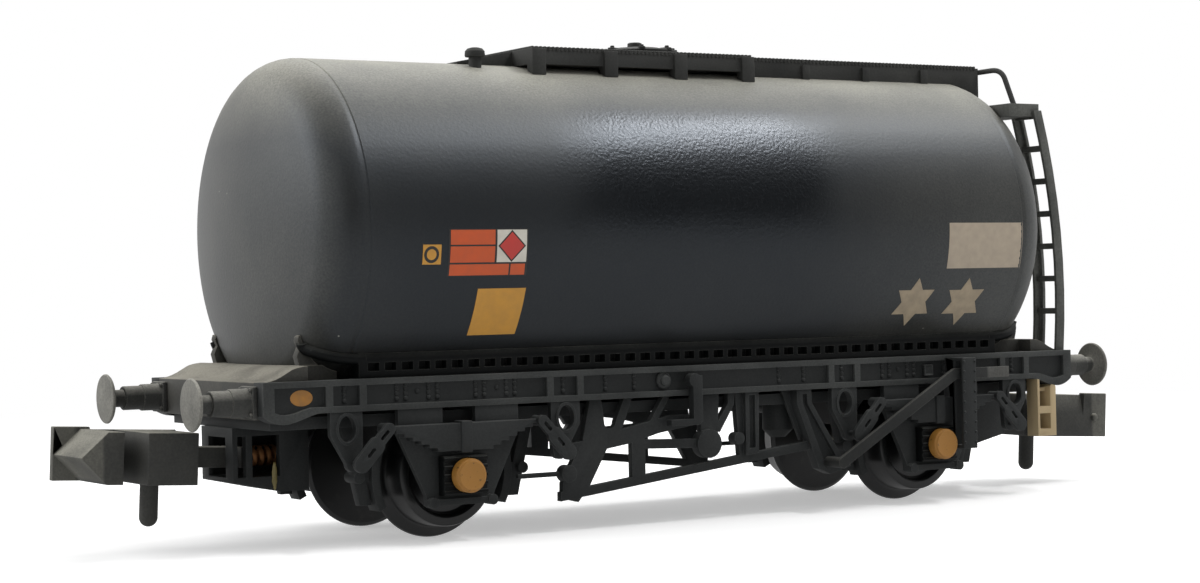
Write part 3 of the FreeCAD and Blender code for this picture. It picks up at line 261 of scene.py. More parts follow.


# %% [markdown]
# The weathering sprayer came from above and from the ends, so a beige-grey film lies on the crown and
# on both dished ends, and fades out half way down the sides, where the clean black shows. The film on
# each end starts just past its knuckle, so the knuckle stays dark; that dark band is painted, in place
# of a dark reflection. The masks read the height and the distance from the middle, because that is how
# the spray reached the tank. Its grain is about 0.1 mm.

# %% The sprayed film
def sprayed_film(add, place, x, z, polish):
    climb = add("ShaderNodeMapRange", {"Value": z, "From Min": 16.5 * mm, "From Max": 24.6 * mm})
    crown = add("ShaderNodeMath", {0: climb, 1: 3.4}, operation="POWER")
    sides = add("ShaderNodeMapRange", {"Value": distance_along(add, x, -6 * mm), "From Min": 10 * mm,
                                       "From Max": 27 * mm, "To Max": 0.095}, interpolation_type="SMOOTHSTEP")
    # The end film starts past the knuckle, which leaves a painted dark band there in place of a dark
    # reflection.
    end_dust_and_painted_dark_knuckle = add("ShaderNodeMapRange", {"Value": distance_along(add, x, 0), "From Min": 22 * mm,
                                      "From Max": 23.3 * mm, "To Max": 0.05}, interpolation_type="SMOOTHSTEP")
    wide = add("ShaderNodeMath", {0: sides, 1: end_dust_and_painted_dark_knuckle}, operation="ADD")
    film = add("ShaderNodeMath", {0: crown, 1: wide}, operation="MAXIMUM")
    hazed = add("ShaderNodeMath", {0: film, 1: 0.018}, operation="ADD")
    rubbed = add("ShaderNodeMapRange", {"Value": polish, "To Min": 1, "To Max": 0.06})
    thin = add("ShaderNodeMath", {0: hazed, 1: rubbed}, operation="MULTIPLY")
    patches = add("ShaderNodeTexNoise", {"Vector": place, "Scale": 1 / (6 * mm), "Detail": 5})
    uneven = add("ShaderNodeMapRange", {"Value": patches, "From Min": 0.3, "From Max": 0.7, "To Min": 0.7,
                                        "To Max": 1.2})
    grain = add("ShaderNodeTexNoise", {"Vector": place, "Scale": 1 / (0.11 * mm), "Detail": 2})
    spray = add("ShaderNodeMapRange", {"Value": grain, "From Min": 0.3, "From Max": 0.7, "To Min": 0.75,
                                       "To Max": 1.25})
    amount = add("ShaderNodeMath", {0: thin, 1: uneven}, operation="MULTIPLY")
    return add("ShaderNodeMath", {0: amount, 1: spray}, operation="MULTIPLY", use_clamp=True)


# %% [markdown]
# A few pale specks lie on the paint, one in seven of the cells of a Voronoi pattern. The paint's own
# pimples are finer than a tenth of a millimetre. The bump draws them about twice as coarse, so that the
# polished patch sparkles in the lamp's highlight, and weaker where the film has filled them.

# %% The tank's paint
def pale_specks(add, place, paint):
    cells = add("ShaderNodeTexVoronoi", {"Vector": place, "Scale": 1 / (1.1 * mm)})
    dots = add("ShaderNodeMapRange", {"Value": cells, "From Min": 0.05, "From Max": 0.03})
    chance = add("ShaderNodeSeparateColor", {"Color": cells.outputs["Color"]}).outputs["Red"]
    few = add("ShaderNodeMath", {0: chance, 1: 0.85}, operation="GREATER_THAN")
    specks = add("ShaderNodeMath", {0: dots, 1: few}, operation="MULTIPLY")
    faint = add("ShaderNodeMath", {0: specks, 1: 0.45}, operation="MULTIPLY")
    return add("ShaderNodeMix", {"Factor": faint, "A": paint, "B": colour("b9b6ab")}, data_type="RGBA")


def tank_paint():
    material, add, dress, place = start_material("Satin black enamel, sprayed dust")
    parts = add("ShaderNodeSeparateXYZ", {"Vector": place})
    x, z = parts.outputs["X"], parts.outputs["Z"]
    polish = polished_patch(add, place, x, z)
    film = sprayed_film(add, place, x, z, polish)
    mix = add("ShaderNodeMix", {"Factor": film, "A": colour("08090a"), "B": colour("a8a69b")},
              data_type="RGBA")
    matt = add("ShaderNodeMapRange", {"Value": polish, "To Min": 0.42, "To Max": 0.285})
    dull = add("ShaderNodeMapRange", {"Value": film, "To Min": matt, "To Max": 0.7})
    pimples = add("ShaderNodeTexNoise", {"Vector": place, "Scale": 1 / (0.18 * mm), "Detail": 3})
    bare = add("ShaderNodeMapRange", {"Value": polish, "To Min": 0.4})
    bump = add("ShaderNodeBump", {"Height": pimples, "Distance": 0.024 * mm, "Strength": bare})
    dress({"Base Color": pale_specks(add, place, mix), "Roughness": dull, "Normal": bump, "IOR": 1.45,
           "Specular Tint": colour("e4f0ff")})
    return material


satin_black = tank_paint()
print("Tank paint ready:", satin_black.name)

# %% [markdown]
# The small finishes are plainer. Ochre hand-brushed enamel covers the axle caps and keeps dark
# flecks where the brush missed. The wheels are glossy black plastic all over, the axles are drawn
# steel, and the coupler's spring is phosphor bronze wire, dulled brown.

# %% Small finishes
def flecked_paint(name, paint, fleck, roughness, fleck_size, coverage=0.62):
    material, add, dress, place = start_material(name)
    flecks = add("ShaderNodeTexNoise", {"Vector": place, "Scale": 1 / fleck_size, "Detail": 3})
    cover = add("ShaderNodeMapRange", {"Value": flecks, "From Min": coverage, "From Max": coverage + 0.1})
    mix = add("ShaderNodeMix", {"Factor": cover, "A": colour(paint), "B": colour(fleck)}, data_type="RGBA")
    bump = add("ShaderNodeBump", {"Height": flecks, "Strength": 0.3, "Distance": 0.02 * mm})
    dress({"Base Color": mix, "Roughness": roughness, "Normal": bump})
    return material


def drawn_metal(name, metal, roughness):
    material, add, dress, place = start_material(name)
    lines = add("ShaderNodeTexNoise", {"Vector": place, "Scale": 1 / (0.2 * mm), "Detail": 2})
    dull = add("ShaderNodeMapRange", {"Value": lines, "To Min": roughness - 0.1, "To Max": roughness + 0.15})
    dress({"Base Color": colour(metal), "Roughness": dull, "Metallic": 1})
    return material


ochre_paint = flecked_paint("Brushed enamel, ochre axle caps", "a3722e", "5d4420", 0.55, 0.25 * mm)
wheel_plastic = flecked_paint("Moulded acetal, glossy black wheels", "0a0b0c", "1d1d1c", 0.35, 0.8 * mm)
yellowed_glue = flecked_paint("Dried glue, yellowed", "7f7345", "5f5733", 0.4, 0.3 * mm)
axle_steel = drawn_metal("Drawn steel axles", "8c8a84", 0.4)
spring_wire = drawn_metal("Phosphor bronze wire, dulled", "bd8a5e", 0.65)
ballast_iron = drawn_metal("Cast iron ballast bar", "5c5b58", 0.6)
print("Small finishes:", [finish.name for finish in (ochre_paint, wheel_plastic, axle_steel, spring_wire)])

# %% [markdown]
# The markings are pad printed: a soft pad presses a thin, even layer of ink on the paint. The ink is
# matt, and the same dust lies on it unevenly, in patches of half a millimetre.

# %% Printing inks
def printed_ink(name, ink, dust_share=0.09):
    material, add, dress, place = start_material(name)
    patches = add("ShaderNodeTexNoise", {"Vector": place, "Scale": 1 / (0.5 * mm), "Detail": 4})
    cover = add("ShaderNodeMapRange", {"Value": patches, "From Min": 0.35, "From Max": 0.75,
                                       "To Min": dust_share * 0.4, "To Max": dust_share * 2})
    mix = add("ShaderNodeMix", {"Factor": cover, "A": colour(ink), "B": colour("4a4944")}, data_type="RGBA")
    dress({"Base Color": mix, "Roughness": 0.55})
    return material


orange_ink = printed_ink("Pad printed ink, orange", "cc5522")
red_ink = printed_ink("Pad printed ink, red", "c43a33")
white_ink = printed_ink("Pad printed ink, white", "d8d3c7")
yellow_ink = printed_ink("Pad printed ink, ochre yellow", "cc9438")
beige_ink = printed_ink("Pad printed ink, beige", "b3a592", 0.1)
star_ink = printed_ink("Pad printed ink, buff stars", "a8987f", 0.2)
amber_ink = printed_ink("Pad printed ink, amber", "b57c2d", 0.22)
dark_ink = printed_ink("Pad printed ink, dark outline", "1c1a18")
print("Inks ready, the palest:", white_ink.name)

# %% [markdown]
# An operator acts on all that is selected, so each step starts by saying what that is. Every piece ends
# the same way: it gets its finish, it rides on a body of the frame, and it may stand for a solid, which
# then hides.

# %% Helpers for every piece
def deselect():
    bpy.ops.object.select_all(action="DESELECT")


def edit(selection="SELECT"):
    bpy.ops.object.mode_set(mode="EDIT")
    bpy.ops.mesh.select_all(action=selection)


def leave_edit():
    bpy.ops.object.mode_set(mode="OBJECT")


def only(piece):
    deselect()
    piece.select_set(True)
    bpy.context.view_layer.objects.active = piece


def apply_all(piece):
    only(piece)
    for modifier in list(piece.modifiers):
        bpy.ops.object.modifier_apply(modifier=modifier.name)


def soften(piece, width, segments=1):
    bevel = piece.modifiers.new("soft_edge", "BEVEL")
    bevel.width = width * mm
    bevel.segments = segments
    apply_all(piece)


def smooth(degrees):
    bpy.ops.object.shade_smooth_by_angle(angle=math.radians(degrees))


def finish_piece(piece, material, body, stands_for=()):
    piece.data.materials.clear()
    piece.data.materials.append(material)
    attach(piece, body)
    if stands_for:
        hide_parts(*stands_for)
    return piece


# %% [markdown]
# A mould never leaves a sharp edge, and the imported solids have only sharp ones. So each moulding is a
# copy of its solid: the loose triangles are merged, flat faces made whole again, and every edge
# is rounded with a Bevel modifier of a few hundredths of a millimetre. The copy stands for its solid,
# which stays underneath for the physics. That keeps the shape exactly where the frame has it.

# %% Rounded mouldings
def rounded_moulding(node, material, edge):
    solid = frame["nodes"][node]
    piece = add_object(node + "_moulding", solid.data.copy())
    only(piece)
    edit()
    bpy.ops.mesh.remove_doubles(threshold=0.0005 * mm)
    bpy.ops.mesh.dissolve_limited(angle_limit=math.radians(1))
    leave_edit()
    bevel = piece.modifiers.new("mould_edge", "BEVEL")
    bevel.width = edge * mm
    bevel.segments = 2
    bevel.angle_limit = math.radians(40)
    apply_all(piece)
    smooth(38)
    finish_piece(piece, material, solid["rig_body"], [node])


mouldings = (
    (underframe_grime, "frame_black", 0.04, ("axleguard", "brake_block", "brake_cylinder", "brake_linkage",
                                             "floor", "leaf", "lever_guards", "swing", "coupler_pocket")),
    (clean_black, "frame_black", 0.04, ("axlebox_a", "axlebox_b", "tank_cradle")),
    (solebar_grime, "frame_black", 0.04, ("solebar",)),
    (deck_dust, "frame_black", 0.04, ("headstock", "tank_saddle")),
    (lever_plastic, "frame_black", 0.04, ("brake_lever",)),
    (walkway_plastic, "walkway_black", 0.03, ("walkway", "manhole_platform")),
    (ladder_plastic, "walkway_black", 0.03, ("ladder",)),
    (coupler_dust_and_highlight, "coupler_grey", 0.06, ("coupler_a", "coupler_b")),
    (tan_step_plastic, "tan_step", 0.04, ("footstep",)))
for material, slot, edge, starts in mouldings:
    nodes = [node for node in frame["nodes"] if node.startswith(starts)]
    for node in nodes:
        rounded_moulding(node, material, edge)
    print(material.name, "on", len(nodes), "mouldings")

# %% [markdown]
# Round pieces are made as on a lathe. A circle is drawn at the first station, then extruded along
# the axis and resized at each next station, and closed at the middle. Many more sides than the
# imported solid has, and smooth shading, keep the tank's highlight clean. Each station is written as
# its distance along the axis and its radius, in millimetres.

# %% The lathe
def ends_of(node):
    low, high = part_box(node)
    return low / mm, high / mm


def turned_piece(name, stations, centre, axis, sides):
    along = Vector(axis)
    middle = Vector(centre) * mm
    turn = Vector((0, 0, 1)).rotation_difference(along).to_euler()
    smallest = 0.001
    deselect()
    bpy.ops.mesh.primitive_circle_add(vertices=sides, radius=max(stations[0][1], smallest) * mm,
                                      fill_type="NOTHING", location=middle + along * stations[0][0] * mm,
                                      rotation=turn)
    piece = bpy.context.object
    piece.name = name
    bpy.ops.object.transform_apply()
    edit()
    for last, station in zip(stations, stations[1:]):
        step = along * (station[0] - last[0]) * mm
        bpy.ops.mesh.extrude_region_move(TRANSFORM_OT_translate={"value": step})
        size = max(station[1], smallest) / max(last[1], smallest)
        bpy.ops.transform.resize(value=(size, size, size), center_override=middle + along * station[0] * mm)
    bpy.ops.mesh.select_all(action="SELECT")
    bpy.ops.mesh.remove_doubles(threshold=0.004 * mm)
    bpy.ops.mesh.fill_holes(sides=0)
    bpy.ops.mesh.normals_make_consistent(inside=False)
    leave_edit()
    smooth(30)
    return piece


# %% [markdown]
# The tank is one welded vessel: a straight barrel and two dished ends, each a tight knuckle and a
# shallow crown. A fine groove marks where each end was glued on. The skin is a fortieth of a
# millimetre smaller in radius than the solid, which leaves room for the ink on it.

# %% The tank
ink_room = 0.024
groove = 0.04
knuckle = 2.4
barrel_low, barrel_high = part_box("tank_barrel")
tank_radius = (barrel_high.y - barrel_low.y) / 2 / mm - ink_room
tank_axis = (barrel_high.z + barrel_low.z) / 2 / mm
seam = barrel_high.x / mm
tank_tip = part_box("tank_end_b")[1].x / mm


def dished_end(steps=20):
    depth = tank_tip - seam
    shoulder = tank_radius - knuckle
    crown = (shoulder ** 2 + depth ** 2 - knuckle ** 2) / (2 * (depth - knuckle))
    turn = math.asin(shoulder / (crown - knuckle))
    stations = []
    for step in range(1, steps + 1):
        angle = math.pi / 2 - (math.pi / 2 - turn) * step / steps
        stations.append((seam + knuckle * math.cos(angle), shoulder + knuckle * math.sin(angle)))
    for step in range(1, steps + 1):
        angle = turn * (1 - step / steps)
        stations.append((tank_tip - crown * (1 - math.cos(angle)), crown * math.sin(angle)))
    return stations


right_half = [(seam - 0.1, tank_radius), (seam - 0.04, tank_radius - groove),
              (seam + 0.02, tank_radius - groove)]
right_half += dished_end()
profile = [(-x, radius) for x, radius in reversed(right_half)] + right_half
tank = turned_piece("tank_skin", profile, (0, 0, tank_axis), (1, 0, 0), 144)
finish_piece(tank, satin_black, "chassis", ["tank_barrel", "tank_end_a", "tank_end_b"])
print("Tank radius", round(tank_radius, 2), "mm, tip at", round(tank_tip, 2), "mm")

# %% [markdown]
# The wheels are turned the same way, from the sizes of the solids that they stand for. A wheel's tread
# tapers outwards from its flange, and its face is dished between the rim and the hub.

# %% Wheels
wheel_profile = [(0, 0.75), (0, 3.2), (0.1, 3.36), (0.2, 3.41), (0.32, 3.36), (0.5, 2.95), (0.6, 2.84),
                 (0.7, 2.8), (2.05, 2.745), (2.17, 2.7), (2.2, 2.6), (2.2, 2.3), (2.14, 2.22), (1.85, 2.12),
                 (1.76, 2.0), (1.76, 1.35), (1.8, 1.25), (2.12, 1.14), (2.2, 1.05), (2.2, 0.75)]
for end in ENDS:
    for side, y in SIDES.items():
        node = "wheel_" + end + side
        low, high = ends_of(node)
        inner = low.y if y > 0 else high.y
        centre = ((low.x + high.x) / 2, inner, (low.z + high.z) / 2)
        wheel = turned_piece(node + "_turned", wheel_profile, centre, (0, y, 0), 96)
        finish_piece(wheel, wheel_plastic, "wheelset_" + end, [node])
print("Wheels turned from", len(wheel_profile), "stations")

# %% [markdown]
# A buffer steps down from its housing to a thin ram and ends in a broad, slightly domed head. Its
# housing stands on a square flange, which starts as a block with bevelled corners and is joined to the
# turned stem, so that both are one moulding.

# %% Buffers
def new_block(name, place, size):
    deselect()
    bpy.ops.mesh.primitive_cube_add(size=1, location=Vector(place) * mm, scale=Vector(size) * mm)
    block = bpy.context.object
    block.name = name
    bpy.ops.object.transform_apply()
    return block


flange_thickness = 0.25
flange_width = 1.6
buffer_profile = [(0.2, 0), (0.25, 0.72), (0.3, 0.7), (1.15, 0.7), (1.19, 0.68), (1.2, 0.63), (2.15, 0.63),
                  (2.19, 0.6), (2.2, 0.46), (2.85, 0.45), (2.95, 0.6), (2.98, 1.0), (3.0, 1.24), (3.06, 1.3),
                  (3.13, 1.29), (3.17, 1.25), (3.22, 0.95), (3.26, 0.5), (3.28, 0)]
buffer_feet = {}
for end, x in ENDS.items():
    for side in SIDES:
        node = "buffer_" + end + side
        low, high = ends_of(node)
        foot = Vector((high.x if x < 0 else low.x, (low.y + high.y) / 2, (low.z + high.z) / 2))
        buffer_feet[node] = foot
        stem = turned_piece(node + "_turned", buffer_profile, foot, (x, 0, 0), 64)
        flange = new_block("flange", foot + Vector((x * flange_thickness / 2, 0, 0)),
                           (flange_thickness, flange_width, flange_width))
        soften(flange, 0.06, 2)
        only(stem)
        flange.select_set(True)
        bpy.ops.object.join()
        smooth(35)
        finish_piece(stem, buffer_plastic, "chassis", [node])
print("Buffers turned:", len(buffer_feet))

# %% [markdown]
# The axle caps are shallow turned discs with a rounded rim, set on the axleboxes' faces. Each of them is
# a piece of its own here, and the two on one side stand for that side's pair in the solids.

# %% Axle caps
cap_profile = [(0, 0), (0, 0.87), (0.46, 0.87), (0.52, 0.84), (0.54, 0.79), (0.62, 0.74), (0.63, 0.7),
               (0.61, 0.63), (0.6, 0)]
for side, y in SIDES.items():
    for end in ENDS:
        low, high = ends_of("axlebox_" + end + side)
        centre = ((low.x + high.x) / 2, high.y if y > 0 else low.y, (low.z + high.z) / 2)
        cap = turned_piece("axle_cap_" + end + side, cap_profile, centre, (0, y, 0), 48)
        finish_piece(cap, ochre_paint, "chassis", ["axlebox_caps_" + side])
print("Axle caps:", len(SIDES) * len(ENDS))

# %% [markdown]
# Small fasteners and repeated trim come next. Each is modelled once, at the origin, and copied to its
# places with a mesh of its own, then one kind is joined into one piece. One helper does the copying.
# The far side of the wagon is the near side turned half round, so a second helper turns a finished
# piece through 180 degrees about the upright axis.

# %% Copying small pieces
def repeat_piece(name, seed, places, material, body="chassis"):
    deselect()
    for place in places:
        twin = add_object(name, seed.data.copy())
        move = place if isinstance(place, Matrix) else Matrix.Translation(Vector(place) * mm)
        twin.data.transform(move)
        twin.select_set(True)
        bpy.context.view_layer.objects.active = twin
    bpy.data.objects.remove(seed)
    bpy.ops.object.join()
    piece = bpy.context.object
    piece.name = name
    return finish_piece(piece, material, body)


def other_side(piece):
    twin = add_object(piece.name + "_far", piece.data.copy())
    twin.data.transform(Matrix.Rotation(math.pi, 4, "Z"))
    return finish_piece(twin, piece.data.materials[0], "chassis")


# %% [markdown]
# Rivet heads stand in columns on the solebar, beside its ribs and hangers, and along the two edges of
# the tall lever guard, as on the real riveted frame. They are flattened spheres of about a quarter of a
# millimetre, the smallest thing that a mould of this size can hold.

# %% Rivets
def round_head(radius, height):
    deselect()
    bpy.ops.mesh.primitive_uv_sphere_add(segments=8, ring_count=5, radius=radius * mm, location=(0, 0, 0))
    bpy.ops.transform.resize(value=(1, height / radius, 1))
    bpy.ops.object.transform_apply()
    bpy.ops.object.shade_smooth()
    return bpy.context.object


axle_distance = 15.445
web_depth = 0.3
web_y = ends_of("solebar_r")[0].y + web_depth
columns = [-6.53, -4.73, 4.77, 6.46]
rivet_places = []
for axle_x in (-axle_distance, axle_distance):
    columns += [axle_x + offset for offset in (-6.3, -3.4, -2.9, -1.6, -1.1, 1.1, 1.6, 2.9, 3.4, 6.3)]
    rivet_places += [(axle_x - 2.25, web_y, 7.72), (axle_x + 2.35, web_y, 7.72)]
rivet_places += [(x, web_y, z) for x in columns for z in (7.38, 7.63, 7.88, 8.1)]
other_side(repeat_piece("solebar_rivets", round_head(0.14, 0.1), rivet_places, solebar_grime))
guard_face = ends_of("lever_guards")[0].y
guard_places = [(x, guard_face, 3.45 + step * 0.58) for x in (16.55, 17.35) for step in range(9)]
other_side(repeat_piece("guard_studs", round_head(0.09, 0.06), guard_places, underframe_grime))
print("Rivets on each side:", len(rivet_places) + len(guard_places))

# %% [markdown]
# The solebar carries two more small fittings: a round boss to the left of the strap, turned like a
# stepped button, and a square door plate near the far axle. The plate's raised rim is what an inset
# leaves round a face that is pushed in. On the couplers a nub stands on the wall's outer face,
# where the moulding tool's ejector pin pressed.

# %% Small fittings
boss_profile = [(0, 0.46), (0.12, 0.46), (0.18, 0.4), (0.2, 0.3), (0.34, 0.28), (0.4, 0.2), (0.4, 0)]
boss = turned_piece("solebar_boss", boss_profile, (-2.9, web_y, 7.7), (0, -1, 0), 32)
finish_piece(boss, solebar_grime, "chassis")
other_side(boss)
door = new_block("solebar_door", (15.3, web_y - 0.1, 7.62), (0.62, 0.3, 0.62))
edit("DESELECT")
leave_edit()
for face in door.data.polygons:
    face.select = face.normal.y < -0.9
bpy.ops.object.mode_set(mode="EDIT")
bpy.ops.mesh.inset(thickness=0.1 * mm, depth=-0.08 * mm)
leave_edit()
soften(door, 0.03)
finish_piece(door, solebar_grime, "chassis")
other_side(door)
nub_profile = [(0, 0.26), (0.1, 0.25), (0.2, 0.2), (0.24, 0.1), (0.25, 0)]
for end, x, side, z in (("a", -32.43, 1, 4.87), ("b", 32.43, -1, 3.97)):
    nub = turned_piece("coupler_nub_" + end, nub_profile, (x, side * 2.58, z), (0, side, 0), 20)
    finish_piece(nub, coupler_dust_and_highlight, "coupler_" + end)
print("Boss, door plate and coupler nubs placed")

# %% [markdown]
# Each buffer's square flange is held by four hexagon-headed bolts. A six-sided cylinder is the head;
# its front edge is bevelled, as a real forged head is.

# %% Buffer bolts
def hexagon_head(across, height):
    deselect()
    bpy.ops.mesh.primitive_cylinder_add(vertices=6, radius=across / 2 * mm, depth=height * mm,
                                        rotation=(0, math.pi / 2, 0))
    head = bpy.context.object
    bpy.ops.object.transform_apply()
    soften(head, 0.03)
    return head


bolt_reach = 0.29
corner = 0.62
bolt_places = []
for foot in buffer_feet.values():
    outward = math.copysign(bolt_reach, foot.x)
    bolt_places += [foot + Vector((outward, y, z)) for y in (-corner, corner) for z in (-corner, corner)]
repeat_piece("buffer_bolts", hexagon_head(0.27, 0.16), bolt_places, buffer_plastic)
print("Buffer bolts:", len(bolt_places))

# %% [markdown]
# The walkway is covered by an open grip tread: narrow bars lie across it, and their ends make the row
# of teeth, 0.26 mm apart, that shows along the plate's edge. One bar is repeated by an Array
# modifier, which is applied so that the row is real geometry.

# %% Grip tread
tread_pitch = 0.26


def tread_bars(name, start, length, half_width, z):
    row = new_block(name, (start + tread_pitch / 2, 0, z), (0.15, 2 * half_width, 0.24))
    soften(row, 0.03)
    array = row.modifiers.new("bars", "ARRAY")
    array.use_relative_offset = False
    array.use_constant_offset = True
    array.constant_offset_displace = (tread_pitch * mm, 0, 0)
    array.count = int(length / tread_pitch)
    apply_all(row)
    finish_piece(row, walkway_plastic, "chassis")


platform_low, platform_high = ends_of("manhole_platform")
walk_high = ends_of("walkway")[1]
tread_bars("platform_tread", platform_low.x, platform_high.x - platform_low.x, platform_high.y - 0.15,
           platform_high.z)
tread_bars("walkway_tread", platform_high.x, walk_high.x - platform_high.x, 2.55, walk_high.z)
print("Bars", tread_pitch, "mm apart on", round(walk_high.x - platform_low.x, 1), "mm of walkway")

# %% [markdown]
# The manhole is a round lid on a short neck, held down by eight swing bolts round its rim, with a valve
# and a small handle on top. The lid is turned, and the bolts are copies of one forked clamp. Ahead of
# the platform stands the vent, a little mushroom with a rounded cap.

# %% Manhole lid and vent
lid_low, lid_high = ends_of("manhole_lid")
lid_centre = ((lid_low.x + lid_high.x) / 2, 0, 0)
lid_top = lid_high.z - 0.45
lid_neck = [(25.0, 0), (25.0, 2.05)]
lid_rise = [(-0.34, 2.05), (-0.32, 2.36), (-0.28, 2.4), (-0.12, 2.4), (-0.06, 2.3), (-0.03, 1.95),
            (0.08, 1.5), (0.13, 1.0), (0.16, 0.6), (0.2, 0.42), (0.41, 0.4), (0.45, 0.33), (0.45, 0)]
lid_profile = lid_neck + [(lid_top + rise, radius) for rise, radius in lid_rise]
lid = turned_piece("manhole_lid_turned", lid_profile, lid_centre, (0, 0, 1), 72)
finish_piece(lid, walkway_plastic, "chassis", ["manhole_lid"])


def forked_clamp():
    clamp = new_block("clamp", (2.12, 0, lid_top - 0.07), (0.62, 0.34, 0.2))
    edit("DESELECT")
    bpy.ops.mesh.primitive_cylinder_add(vertices=12, radius=0.12 * mm, depth=0.24 * mm,
                                        location=(2.2 * mm, 0, (lid_top + 0.02) * mm))
    leave_edit()
    soften(clamp, 0.04, 2)
    return clamp


lid_middle = Matrix.Translation(Vector(lid_centre) * mm)
clamp_places = [lid_middle @ Matrix.Rotation(math.radians(22.5 + 45 * step), 4, "Z") for step in range(8)]
repeat_piece("manhole_clamps", forked_clamp(), clamp_places, walkway_plastic)
vent_low, vent_high = ends_of("vent_cover")
vent_centre = ((vent_low.x + vent_high.x) / 2, (vent_low.y + vent_high.y) / 2, 0)
vent_profile = [(vent_low.z, 0), (vent_low.z, 0.34)]
vent_profile += [(vent_high.z - drop, radius) for drop, radius in (
    (0.52, 0.34), (0.5, 0.52), (0.42, 0.55), (0.2, 0.53), (0.06, 0.4), (0, 0.18), (0, 0))]
vent = turned_piece("vent_turned", vent_profile, vent_centre, (0, 0, 1), 32)
finish_piece(vent, walkway_plastic, "chassis", ["vent_cover"])
print("Manhole clamps:", len(clamp_places))

# %% [markdown]
# Each coupler is centred by a coil of wire in its pocket. The solid there is one plain cylinder; here a
# small circle is wound round the coil's axis by a Screw modifier, four and a half turns in the same
# length.

# %% Coil springs
wire_radius = 0.12
turns = 4.5
for end in ENDS:
    low, high = ends_of("coupler_spring_" + end)
    deselect()
    bpy.ops.mesh.primitive_circle_add(vertices=12, radius=wire_radius * mm, fill_type="NOTHING",
                                      location=(0, 0, ((high.z - low.z) / 2 - wire_radius) * mm))
    coil = bpy.context.object
    coil.name = "coupler_coil_" + end
    bpy.ops.object.transform_apply()
    coil.data.transform(Matrix.Translation((wire_radius * mm, 0, 0)))
    screw = coil.modifiers.new("winding", "SCREW")
    screw.axis = "X"
    screw.angle = 2 * math.pi * turns
    screw.screw_offset = (high.x - low.x - 2 * wire_radius) * mm
    screw.steps = screw.render_steps = 120
    screw.use_normal_calculate = True
    apply_all(coil)
    coil.data.transform(Matrix.Translation(Vector((low.x, (low.y + high.y) / 2, (low.z + high.z) / 2)) * mm))
    edit()
    bpy.ops.mesh.fill_holes(sides=0)
    bpy.ops.mesh.normals_make_consistent(inside=False)
    leave_edit()
    smooth(50)
    finish_piece(coil, spring_wire, "chassis", ["coupler_spring_" + end])
print("Coils wound with", turns, "turns each")

# %% [markdown]
# A line of glue has yellowed and squeezed out at the left pocket, down the edge of its window. It
# starts as a small sphere drawn out into a bead, and a wavy displacement makes it lumpy.

# %% Yellowed glue
deselect()
bpy.ops.mesh.primitive_uv_sphere_add(segments=16, ring_count=24, radius=mm)
bead = bpy.context.object
bead.name = "glue_bead"
bead.scale = (0.14, 0.07, 0.72)
bpy.ops.object.transform_apply()
lump = bead.modifiers.new("lumps", "DISPLACE")
lump.texture = bpy.data.textures.new("glue_waves", "CLOUDS")
lump.texture.noise_scale = 0.3 * mm
lump.strength = 0.1 * mm
apply_all(bead)
bead.data.transform(Matrix.Translation(Vector((-23.32, -2.0, 3.5)) * mm))
bpy.ops.object.shade_smooth()
finish_piece(bead, yellowed_glue, "chassis")
print("Glue bead at the left pocket")

# %% [markdown]
# The tank's markings are plain shapes of ink. Each starts as a flat grid or circle beside the tank and
# is projected straight onto the paint by a Shrinkwrap modifier, a fiftieth of a millimetre proud, then
# given a hair of thickness. A height is written as the angle up from the tank's side, as a tape round
# the barrel would measure it.

# %% Projecting a marking
def beside_tank(x, z):
    return Vector((x, -tank_radius - 0.6, z)) * mm


def height_at(angle):
    return tank_axis + tank_radius * math.sin(math.radians(angle))


def onto_tank(sheet, name, ink, lift):
    sheet.name = name
    bpy.ops.object.transform_apply()
    wrap = sheet.modifiers.new("onto_paint", "SHRINKWRAP")
    wrap.target = tank
    wrap.wrap_method = "PROJECT"
    wrap.wrap_mode = "ABOVE_SURFACE"
    wrap.use_project_y = True
    wrap.offset = lift * mm
    skin = sheet.modifiers.new("ink", "SOLIDIFY")
    skin.thickness = 0.012 * mm
    apply_all(sheet)
    smooth(30)
    finish_piece(sheet, ink, "chassis")
    other_side(sheet)


# %% [markdown]
# There is an orange panel over a dark backing, a white square beside it, a lower orange strip, a small
# ochre square, a leaning ochre panel and a beige plate. A panel is a square grid, scaled to its size
# and cut finely enough to bend with the barrel.

# %% The panels
def printed_panel(name, ink, x, angles, lift=0.014):
    low_z, high_z = height_at(angles[0]), height_at(angles[1])
    deselect()
    bpy.ops.mesh.primitive_grid_add(x_subdivisions=12, y_subdivisions=12, size=1,
                                    location=beside_tank((x[0] + x[1]) / 2, (low_z + high_z) / 2),
                                    rotation=(math.pi / 2, 0, 0))
    sheet = bpy.context.object
    sheet.scale = ((x[1] - x[0]) * mm, (high_z - low_z) * mm, 1)
    onto_tank(sheet, name, ink, lift)


printed_panel("ring_square", yellow_ink, (-18.21, -17.18), (-12.0, -5.7))
printed_panel("panel_backing", dark_ink, (-16.76, -12.2), (-15.95, -0.8), 0.010)
printed_panel("orange_upper", orange_ink, (-16.66, -14.12), (-5.8, -1.1))
printed_panel("orange_lower", orange_ink, (-16.66, -14.12), (-11.5, -6.35))
printed_panel("white_square", white_ink, (-14.0, -12.28), (-11.5, -1.1))
printed_panel("strip_left", orange_ink, (-16.66, -13.26), (-15.7, -12.1))
printed_panel("strip_right", orange_ink, (-13.16, -12.33), (-15.7, -12.1))
printed_panel("ochre_panel", yellow_ink, (-14.89, -12.1), (-37.2, -20.2))
printed_panel("beige_plate", beige_ink, (15.54, 21.05), (-16.0, 0.6))
print("Panels printed on both sides")

# %% [markdown]
# The diamond is a square grid stood on its corner, a red one on a slightly larger dark one. The ring
# is a circle of dark ink on the ochre square. Each star starts as a circle of twelve points whose
# every second point is drawn in to 0.577 of the radius, which is what two crossed triangles give.
# A star is printed a tenth less tall than wide.

